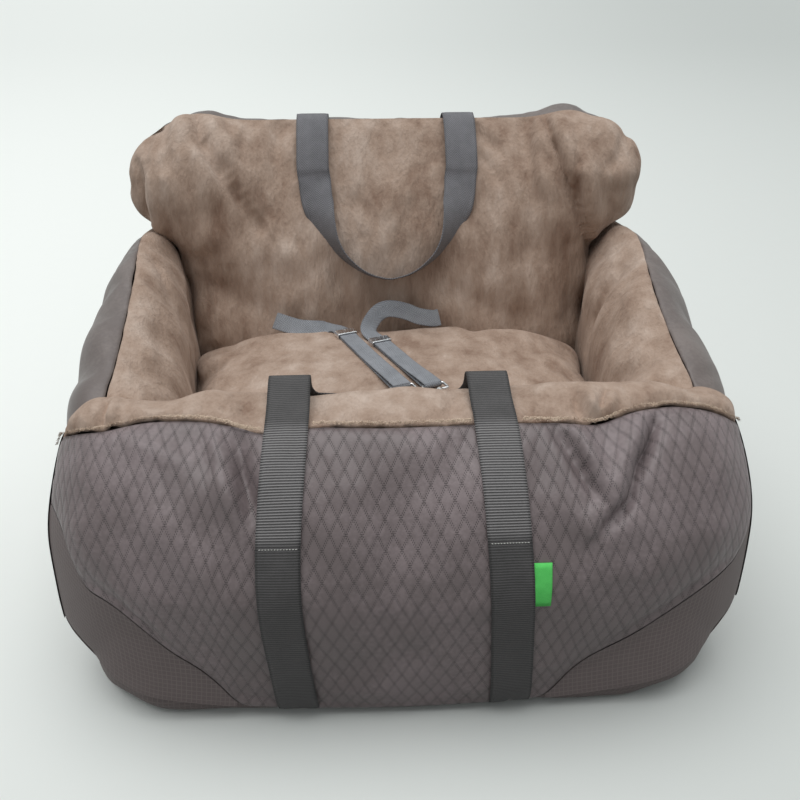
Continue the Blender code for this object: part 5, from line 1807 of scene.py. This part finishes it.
@dataclass
class LaidStrap:
    """A strap laid down a cover round a pivot line along X, following it across its whole width."""

    name: str
    foot_x: float
    top_x: float
    pivot: tuple[float, float]
    foot_angle: float
    fold_angle: float
    lift_angle: float
    fold_rise: float
    fold_end: tuple[float, float]
    finish: object
    slot: str
    width: float = 0.038
    thickness: float = 0.0016
    gap: float = 0.0010
    slant_share: float = 0.88
    bow: float = 0.0
    samples: int = 150
    following: float = 0.55
    spanning: float = 0.45
    peak_reach: int = 2
    mean_reach: int = 8

    def build(self, surface: BVHTree) -> Net:
        """Builds the strap on a surface.

        Args:
            surface: the covers that it lies on.

        Returns:
            Its outer face: rows along the strap, points across it.
        """
        across = np.linspace(-0.5, 0.5, 9)
        reaches = np.zeros((self.samples, len(across)))
        ways, spots = [], []
        for i in range(self.samples):
            share = i / (self.samples - 1)
            angle = self.foot_angle + (self.fold_angle - self.foot_angle) * share
            away = Vector((0.0, -math.cos(angle), math.sin(angle)))
            x = self.foot_x + (self.top_x - self.foot_x) * min(share / self.slant_share, 1.0)
            x -= self.bow * math.sin(math.pi * min(share / self.slant_share, 1.0)) ** 1.5
            ways.append(away)
            spots.append(x)
            for j, part in enumerate(across):
                centre = Vector((x + part * self.width, *self.pivot))
                hit = surface.ray_cast(centre + away, -away)[0]
                reaches[i, j] = (hit - centre).dot(away) if hit is not None else reaches[i - 1, j]
        full = reaches.max(axis=1, keepdims=True)
        reaches = reaches * self.following + full * self.spanning
        reaches = np.max(self.neighbours(reaches, self.peak_reach), axis=0)
        reaches = np.mean(self.neighbours(reaches, self.mean_reach), axis=0)
        angles = np.linspace(self.foot_angle, self.fold_angle, self.samples)
        span = (angles - self.lift_angle) / (self.fold_angle - self.lift_angle)
        rise = self.fold_rise * ease(span, 0.0, 1.0)
        reaches += (self.gap + rise + self.thickness / 2)[:, None]
        middle = np.array([(x, *self.pivot) for x in spots])
        net = middle[:, None] + np.array(ways)[:, None] * reaches[..., None]
        net[..., 0] += across[None, :] * self.width
        near = ease(np.linspace(0, 1, self.samples), 0.90, 1.0)[:, None]
        move = np.array(self.fold_end) - net[-1, :, 1:]
        net[..., 1:] += near[..., None] * move[None]
        self.make(net)
        return net

    def neighbours(self, reaches: Net, count: int) -> list[Net]:
        """The reaches moved by up to count samples either way."""
        padded = np.pad(reaches, ((count, count), (0, 0)), mode="edge")
        return [padded[k : k + self.samples] for k in range(2 * count + 1)]

    def make(self, net: Net) -> None:
        """Makes the strap's mesh round its middle net."""
        along = np.gradient(net, axis=0)
        side = np.gradient(net, axis=1)
        up = np.cross(along, side)
        up /= np.linalg.norm(up, axis=-1, keepdims=True)
        half = self.thickness / 2
        swell = np.array([0.35, 1, 1, 1, 1, 1, 1, 1, 0.35]) * half
        outer = net + up * swell[None, :, None]
        inner = net - up * swell[None, :, None]
        loop = np.concatenate((outer, inner[:, ::-1]), axis=1)
        across = np.linspace(0, self.width, 9)
        around = np.concatenate((across, across[::-1]))[None]
        run = run_along(net[:, 4])
        flat = np.stack(np.broadcast_arrays(around, run[:, None]), axis=-1)
        faces = tube_faces(*loop.shape[:2], inside_out=True)
        thing = join_meshes(self.name + "_webbing", [(loop, flat, faces)])
        settle(thing, self.finish, (self.name,))


def mirrored(
    half: tuple[tuple[float, ...], ...], middle: float, shared: bool
) -> tuple[tuple[float, ...], ...]:
    """A whole table from its left half.

    Args:
        half: the rows from the left end to the middle.
        middle: the x of the middle, in millimetres.
        shared: whether the last row lies on the middle.

    Returns:
        All rows.
    """
    rows = reversed(half[:-1] if shared else half)
    return half + tuple((2 * middle - x, y, z, -a, b, c) for x, y, z, a, b, c in rows)


FRONT_HANDLE = mirrored(
    (
        (-103, -167.6, 300.5, 1, 0, 0), (-103, -163.3, 298.3, 1, 0, 0), (-103, -159.9, 295, 1, 0, 0),
        (-103, -158.6, 293, 1, 0, 0), (-103, -154.9, 286, 1, -0.04, 0.07),
        (-101.8, -151, 277.7, 0.95, -0.16, 0.26), (-98.4, -147.4, 270.6, 0.81, -0.31, 0.5),
        (-93.1, -145, 264.6, 0.59, -0.43, 0.69), (-86.4, -143.4, 260.7, 0.31, -0.5, 0.81),
        (-79, -142.8, 259, 0.01, -0.53, 0.85), (-57, -142.6, 257.6, 0, -0.53, 0.85),
        (-35, -142.4, 256.8, 0, -0.53, 0.85),
    ),
    -13.0,
    False,
)
BACK_HANDLE = mirrored(
    (
        (-88, 233.6, 456.8, 1, 0, 0), (-88, 228.5, 456.1, 1, 0, 0), (-88, 223.5, 455.4, 1, 0, 0),
        (-88, 218.5, 454, 1, 0, 0), (-88, 213.5, 451.6, 1, 0, 0), (-88, 208.5, 448.5, 1, 0, 0),
        (-88, 203.7, 445, 1, 0, 0), (-88, 199.2, 441.3, 1, 0, 0), (-88, 194.8, 437.2, 1, 0, 0),
        (-88, 190.7, 433.1, 1, 0, 0), (-88, 186.8, 428.9, 1, 0, 0), (-88, 183.2, 424.7, 1, 0, 0),
        (-88, 179.7, 420.3, 1, 0, 0), (-88.1, 176.5, 415.8, 1, -0.01, -0.01),
        (-88.1, 173.5, 411.2, 1, 0, 0.01), (-88, 170.9, 406.6, 1, 0.02, 0.05),
        (-87.6, 169.5, 402.9, 0.99, 0.03, 0.11), (-87.1, 168.6, 399.3, 0.99, 0.05, 0.14),
        (-86.2, 166, 394.1, 0.99, 0.06, 0.09), (-85.5, 160.9, 386.8, 0.99, -0.03, 0.13),
        (-84.4, 154, 377.9, 0.97, -0.08, 0.24), (-81.8, 146.5, 367.7, 0.92, -0.11, 0.38),
        (-77.1, 137.6, 355.5, 0.7, -0.42, 0.56), (-70.9, 128, 342.1, 0.45, -0.62, 0.6),
        (-63.4, 120.1, 329.7, 0.24, -0.8, 0.55), (-54.4, 114, 318, 0.14, -0.87, 0.45),
        (-44.1, 110.6, 308.8, 0.1, -0.9, 0.4), (-33.4, 108.4, 301.4, 0.07, -0.92, 0.37),
        (-22.6, 107.2, 296, 0.05, -0.93, 0.36), (-11.3, 106.8, 292.8, 0.02, -0.93, 0.35),
        (0, 106.5, 291, 0, -0.93, 0.35),
    ),
    0.0,
    True,
)
LEFT_TETHER = (
    (-137, 97.5, 245.1, 0.35, 0.43, 0.83), (-128.3, 91.9, 244.3, 0.36, 0.44, 0.82),
    (-119.7, 86.4, 243.6, 0.36, 0.5, 0.79), (-111.5, 82.3, 242.9, 0.28, 0.62, 0.73),
    (-103.8, 80.6, 242.3, 0.14, 0.7, 0.7), (-96.5, 80.5, 241.8, 0.04, 0.73, 0.68),
    (-89.9, 80.8, 241.4, -0.02, 0.76, 0.65), (-84, 81.6, 241, -0.1, 0.76, 0.64),
    (-78.6, 82.9, 240.6, -0.12, 0.83, 0.54), (-73.9, 83.5, 240.4, 0, 0.98, 0.22),
    (-69.9, 83, 240.2, 0.22, 0.97, 0.05), (-66.5, 81.9, 240.2, 0.41, 0.91, 0.01),
    (-63.6, 80.2, 240.1, 0.6, 0.8, 0.01), (-61.2, 77.9, 240.1, 0.76, 0.65, 0),
    (-59.2, 75, 240.1, 0.82, 0.57, 0), (-57.2, 72.2, 240.1, 0.91, 0.41, 0),
    (-50.3, 55.1, 240.1, 0.93, 0.37, 0), (-43.4, 37.9, 240.1, 0.93, 0.37, 0),
    (-36.4, 20.8, 240.1, 0.93, 0.37, 0), (-29.5, 3.7, 240.1, 0.93, 0.37, 0),
    (-18, -24.9, 240.1, 0.93, 0.37, 0), (-6.5, -53.4, 240.1, 0.93, 0.37, 0),
    (3.4, -77.8, 240.1, 0.93, 0.37, 0), (3.9, -78.9, 240.5, 0.93, 0.37, 0),
    (4.2, -79.8, 241.3, 0.93, 0.37, 0), (4.3, -80.1, 242.6, 0.93, 0.37, 0),
    (4.2, -79.8, 243.8, 0.93, 0.37, 0), (3.9, -78.9, 244.7, 0.93, 0.37, 0),
    (3.4, -77.8, 245, 0.93, 0.37, 0), (-6.5, -53.4, 244.4, 0.93, 0.37, 0),
    (-18, -24.9, 242.9, 0.93, 0.37, 0), (-29.5, 3.7, 242, 0.93, 0.37, 0),
    (-36.4, 20.8, 242, 0.93, 0.37, 0), (-43.4, 37.9, 242, 0.93, 0.37, 0),
    (-50.3, 55.1, 242, 0.93, 0.37, 0), (-56.5, 70.3, 242, 0.93, 0.37, 0),
)
RIGHT_TETHER = (
    (58, 97.5, 245.2, 0.22, -0.39, -0.89), (55.5, 96.1, 245.2, 0.22, -0.39, -0.89),
    (53, 94.7, 245.2, 0.14, -0.45, -0.88), (49.6, 93.5, 245.6, -0.01, -0.5, -0.86),
    (44.6, 92.5, 246.6, -0.1, -0.52, -0.85), (38.6, 91.7, 248, -0.15, -0.53, -0.84),
    (32.7, 91, 249.7, -0.24, -0.54, -0.81), (27.4, 90.6, 252, -0.32, -0.55, -0.77),
    (22.2, 90.4, 254.6, -0.32, -0.55, -0.77), (16.6, 90, 256.9, -0.25, -0.54, -0.81),
    (10.3, 89.4, 258.9, -0.18, -0.53, -0.83), (3.5, 88.8, 260.5, -0.1, -0.51, -0.85),
    (-2.5, 88, 261.2, 0.06, -0.49, -0.87), (-7.4, 87.4, 260.6, 0.27, -0.45, -0.85),
    (-11.6, 86.6, 259.1, 0.47, -0.38, -0.8), (-15.5, 85, 256.9, 0.63, -0.23, -0.74),
    (-19.4, 82.1, 253.8, 0.72, -0.1, -0.69), (-23, 78.4, 250.1, 0.76, -0.03, -0.65),
    (-25.5, 74.5, 247.1, 0.8, 0, -0.59), (-26.7, 70.7, 245.1, 0.89, 0.03, -0.46),
    (-27, 66.8, 243.7, 0.95, 0.14, -0.29), (-26.3, 62.5, 242.5, 0.94, 0.3, -0.14),
    (-24.3, 57.7, 241.7, 0.9, 0.44, -0.05), (-21.5, 52.6, 241.2, 0.87, 0.49, 0),
    (-18.6, 47.5, 240.7, 0.91, 0.42, 0), (-11.2, 30.6, 240.7, 0.92, 0.4, 0),
    (-3.9, 13.6, 240.7, 0.92, 0.4, 0), (3.5, -3.3, 240.7, 0.92, 0.4, 0),
    (10.8, -20.2, 240.7, 0.92, 0.4, 0), (19.5, -40.1, 240.7, 0.92, 0.4, 0),
    (28.1, -60, 240.7, 0.92, 0.4, 0), (35.5, -77, 240.7, 0.92, 0.4, 0), (36, -78.1, 241, 0.92, 0.4, 0),
    (36.4, -78.9, 241.9, 0.92, 0.4, 0), (36.5, -79.2, 243.2, 0.92, 0.4, 0),
    (36.4, -78.9, 244.4, 0.92, 0.4, 0), (36, -78.1, 245.3, 0.92, 0.4, 0),
    (35.5, -77, 245.6, 0.92, 0.4, 0), (28.1, -60, 245, 0.92, 0.4, 0),
    (19.5, -40.1, 243.4, 0.92, 0.4, 0), (10.8, -20.2, 242.6, 0.92, 0.4, 0),
    (3.5, -3.3, 242.6, 0.92, 0.4, 0), (-3.9, 13.6, 242.6, 0.92, 0.4, 0),
    (-11.2, 30.6, 242.6, 0.92, 0.4, 0), (-17.8, 45.7, 242.6, 0.92, 0.4, 0),
)


@dataclass
class Webbings:
    """All the straps: the laid ones, the two handles and the two tethers."""

    width: float = 0.038
    thickness: float = 0.0016
    tether_width: float = 0.020
    tether_thickness: float = 0.0013
    front_pivot: tuple[float, float] = (-0.168, 0.140)
    front_fold: tuple[float, float] = (-0.1684, 0.3006)
    back_pivot: tuple[float, float] = (0.206, 0.280)
    back_fold: tuple[float, float] = (0.2344, 0.4568)
    stitches_at: float = 0.202
    stitches: int = 13

    def build(self, fronts: list[Sheet], backs: list[Sheet]) -> None:
        """Builds every strap.

        Args:
            fronts: the covers that the front straps lie on.
            backs: the covers that the back straps lie on.
        """
        surface = surface_of(fronts)
        for name, foot, top, bow in (
            ("front_left_strap", -0.103, -0.103, 0.009), ("front_right_strap", 0.095, 0.077, 0.0)
        ):
            strap = LaidStrap(
                name, foot, top, self.front_pivot, math.radians(-48.5), math.radians(90), math.radians(52),
                0.0060, self.front_fold, WARDROBE.front_webbing, "dark_webbing", bow=bow,
            )
            net = strap.build(surface)
            self.stitch(name + "_stitches", net)
        surface = surface_of(backs)
        for name, x in (("back_left_strap", -0.088), ("back_right_strap", 0.088)):
            strap = LaidStrap(
                name, x, x, self.back_pivot, math.radians(231), math.radians(99), math.radians(128),
                0.0026, self.back_fold, WARDROBE.back_webbing, "grey_webbing",
            )
            strap.build(surface)
        wide = (self.width, self.thickness)
        thin = (self.tether_width, self.tether_thickness)
        front, back = WARDROBE.handle_webbing, WARDROBE.back_webbing
        tether = WARDROBE.tether_webbing
        for strap in (
            Strap("front_handle", FRONT_HANDLE, *wide, front, "front_handle", "dark_webbing"),
            Strap("back_handle", BACK_HANDLE, *wide, back, "back_handle", "grey_webbing"),
            Strap("left_tether", LEFT_TETHER, *thin, tether, "seat", "tether_webbing"),
            Strap("right_tether", RIGHT_TETHER, *thin, tether, "seat", "tether_webbing"),
        ):
            strap.build()

    def stitch(self, name: str, net: Net) -> None:
        """A row of thread stitches across a laid strap."""
        row = int(np.searchsorted(run_along(net[:, 4]), self.stitches_at))
        along = net[row + 1, 4] - net[row, 4]
        up = np.cross(along, net[row, 5] - net[row, 4])
        up *= -np.sign(up[1]) / np.linalg.norm(up)
        rises = self.thickness / 2 + np.array([-0.0002, 0.00035, -0.0002])
        parts = []
        for k in range(self.stitches):
            a, b = ((k + share) / self.stitches * 7 + 0.5 for share in (0.18, 0.82))
            ends = between(np.array([a, (a + b) / 2, b]), np.arange(9), net[row])
            sides = np.repeat(along[None], 3, axis=0)
            parts.append(webbing_net(ends + up * rises[:, None], sides, 0.0007, 0.0005))
        settle(join_meshes(name, parts), WARDROBE.white_thread)


@dataclass
class SideTag:
    """The small woven tag beside the right front strap."""

    x: float = 0.1120
    width: float = 0.016
    top: float = 0.187
    height: float = 0.040
    thickness: float = 0.0010
    clearance: float = 0.0011
    probes: tuple[float, ...] = (-0.007, 0.0, 0.007)

    def build(self, fronts: list[Sheet]) -> None:
        """Builds the tag on the front panel."""
        surface = surface_of(fronts)
        centres = []
        for z in np.linspace(self.top, self.top - self.height, 9):
            starts = [(self.x + aside, -1.0, z) for aside in self.probes]
            y = min(depths(surface, starts, (0, 1, 0)))
            centres.append((self.x, y - self.clearance, z))
        sides = np.tile([1.0, 0.0, 0.0], (9, 1))
        thing = join_meshes("tag", [webbing_net(np.array(centres), sides, self.width, self.thickness)])
        settle(thing, WARDROBE.tag, ("side_tag",))


@dataclass
class Zip:
    """The zip low on the back: its tape and its two rows of teeth."""

    height: float = 0.135
    half_length: float = 0.150
    tape_width: float = 0.024
    tooth_pitch: float = 0.0024
    least_depth: float = 0.2905

    def build(self, backs: list[Sheet]) -> None:
        """Builds the tape and the teeth on the back panel."""
        surface = surface_of(backs)
        spots = np.linspace(-self.half_length, self.half_length, 61)
        depth = []
        for x in spots:
            starts = [(x, 1.0, self.height + up) for up in (-0.01, 0, 0.01)]
            depth.append(max(depths(surface, starts, (0, -1, 0))))
        smooth = np.maximum(smoothed(depth, 3), self.least_depth)
        centres = np.stack((spots, smooth + 0.0006, np.full(len(spots), self.height)), axis=-1)
        sides = np.tile([0.0, 0.0, 1.0], (len(spots), 1))
        tape = join_meshes("zip_tape_cloth", [webbing_net(centres, sides, self.tape_width, 0.0010)])
        settle(tape, WARDROBE.tape, ("zip_tape",))
        parts = []
        count = int(2 * self.half_length / self.tooth_pitch)
        for k in range(count):
            x = -self.half_length + (k + 0.5) * self.tooth_pitch
            y = float(np.interp(x, spots, smooth)) + 0.0017
            z = self.height + (0.0007 if k % 2 else -0.0007)
            line = np.array([(x, y, z - 0.0019), (x, y + 0.0003, z), (x, y, z + 0.0019)])
            parts.append(webbing_net(line, np.tile([1.0, 0.0, 0.0], (3, 1)), 0.0015, 0.0013))
        teeth = join_meshes("zip_teeth_row", parts)
        settle(teeth, WARDROBE.teeth, ("zip_chain",))


@dataclass
class Hardware:
    """The hard parts that keep the part's own shapes."""

    names: tuple[str, ...] = (
        "left_slider", "left_hook_eye", "left_hook", "left_hook_gate",
        "right_slider", "right_hook_eye", "right_hook", "right_hook_gate", "zip_slider", "zip_pull",
    )

    def build(self) -> None:
        """Gives each of them its finish."""
        for name in self.names:
            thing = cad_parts[name]
            WARDROBE.dress(thing, WARDROBE.chrome)
            LOG.info("%s keeps its own shape", name)


@dataclass
class Studio:
    """A pale seamless floor with painted shade, and soft light from the upper left."""

    floor_bright: tuple[float, float, float] = (243, 247, 243)
    floor_unseen: tuple[float, float, float] = (112, 112, 110)
    floor_painted_shade: tuple[float, float, float] = (183, 188, 185)
    half_width: float = 60.0
    level: float = -0.0004
    sun_from: tuple[float, float, float] = (-0.12, -0.03, 1.0)
    sun_strength: float = 1.95
    sun_angle: float = math.radians(62)
    sky_strength: float = 0.44
    sky_colour: tuple[float, float, float, float] = (0.96, 0.98, 1.0, 1.0)
    sky_seen: tuple[float, float, float] = (206, 211, 209)

    def build(self) -> None:
        """Builds the floor, the lamps and the camera."""
        spots = np.linspace(-self.half_width, self.half_width, 9)
        net = np.array([[(x, y, self.level) for y in spots] for x in spots])
        floor = Sheet("floor", net, seamed="").mesh_object(0)
        board = Board("studio paper")
        spot = board.make("ShaderNodeSeparateXYZ", None, {0: board.place()})
        depth = Signal(board, spot.socket.node.outputs[1])
        # Painted shade on the floor: it darkens to the right, towards the front and far behind the seat,
        # with a faint random tone.
        share = (spot / (depth.most(-1.0) * 0.25 + 1.2)).ramp(-0.65, 1.15, 0.0, 0.667)
        share = share + depth.ramp(-0.42, 0.25, 0.28, 0.0) + depth.ramp(0.6, 5.0, 0.0, 0.26)
        share = share + board.noise(30.0, 3.0) * 0.02
        colour = board.mix(share, tone(*self.floor_bright), tone(*self.floor_painted_shade))
        # Rays that only light the seat see the darker unseen floor colour, which takes bounce light off the
        # seat's lower parts.
        colour = board.mix(board.seen(), tone(*self.floor_unseen), colour)
        floor.data.materials.append(board.finish({"Base Color": colour, "Roughness": 0.9}))
        self.sun()
        sky = Board("studio", world=True)
        seen = sky.seen()
        values = {
            "Color": sky.mix(seen, self.sky_colour, tone(*self.sky_seen)),
            "Strength": seen * (1.0 - self.sky_strength) + self.sky_strength,
        }
        background = sky.make("ShaderNodeBackground", None, values)
        sky.make("ShaderNodeOutputWorld", None, {"Surface": background})
        bpy.context.scene.world = sky.owner
        bpy.context.scene.view_settings.view_transform = "Standard"
        VIEWPOINT.place_camera()

    def sun(self) -> None:
        """One very soft sun from the upper left."""
        light = bpy.data.lights.new("sun", "SUN")
        light.energy = self.sun_strength
        light.angle = self.sun_angle
        thing = bpy.data.objects.new("sun", light)
        thing.matrix_world = (-Vector(self.sun_from)).to_track_quat("-Z", "Y").to_matrix().to_4x4()
        bpy.context.scene.collection.objects.link(thing)


def main() -> None:
    """Builds the pieces in order."""
    logging.basicConfig(level=logging.INFO, format="%(message)s")
    base = Base().build()
    front = FrontBolster()
    front.build()
    front.fringe()
    for hand in (-1, 1):
        SideBolster(hand).build()
    Cushion().build()
    face, back = Backrest().build()
    Webbings().build([*front.sheets, base], [face, back])
    SideTag().build(front.sheets)
    Zip().build([back])
    Hardware().build()
    Studio().build()


if __name__ == "__main__":
    main()
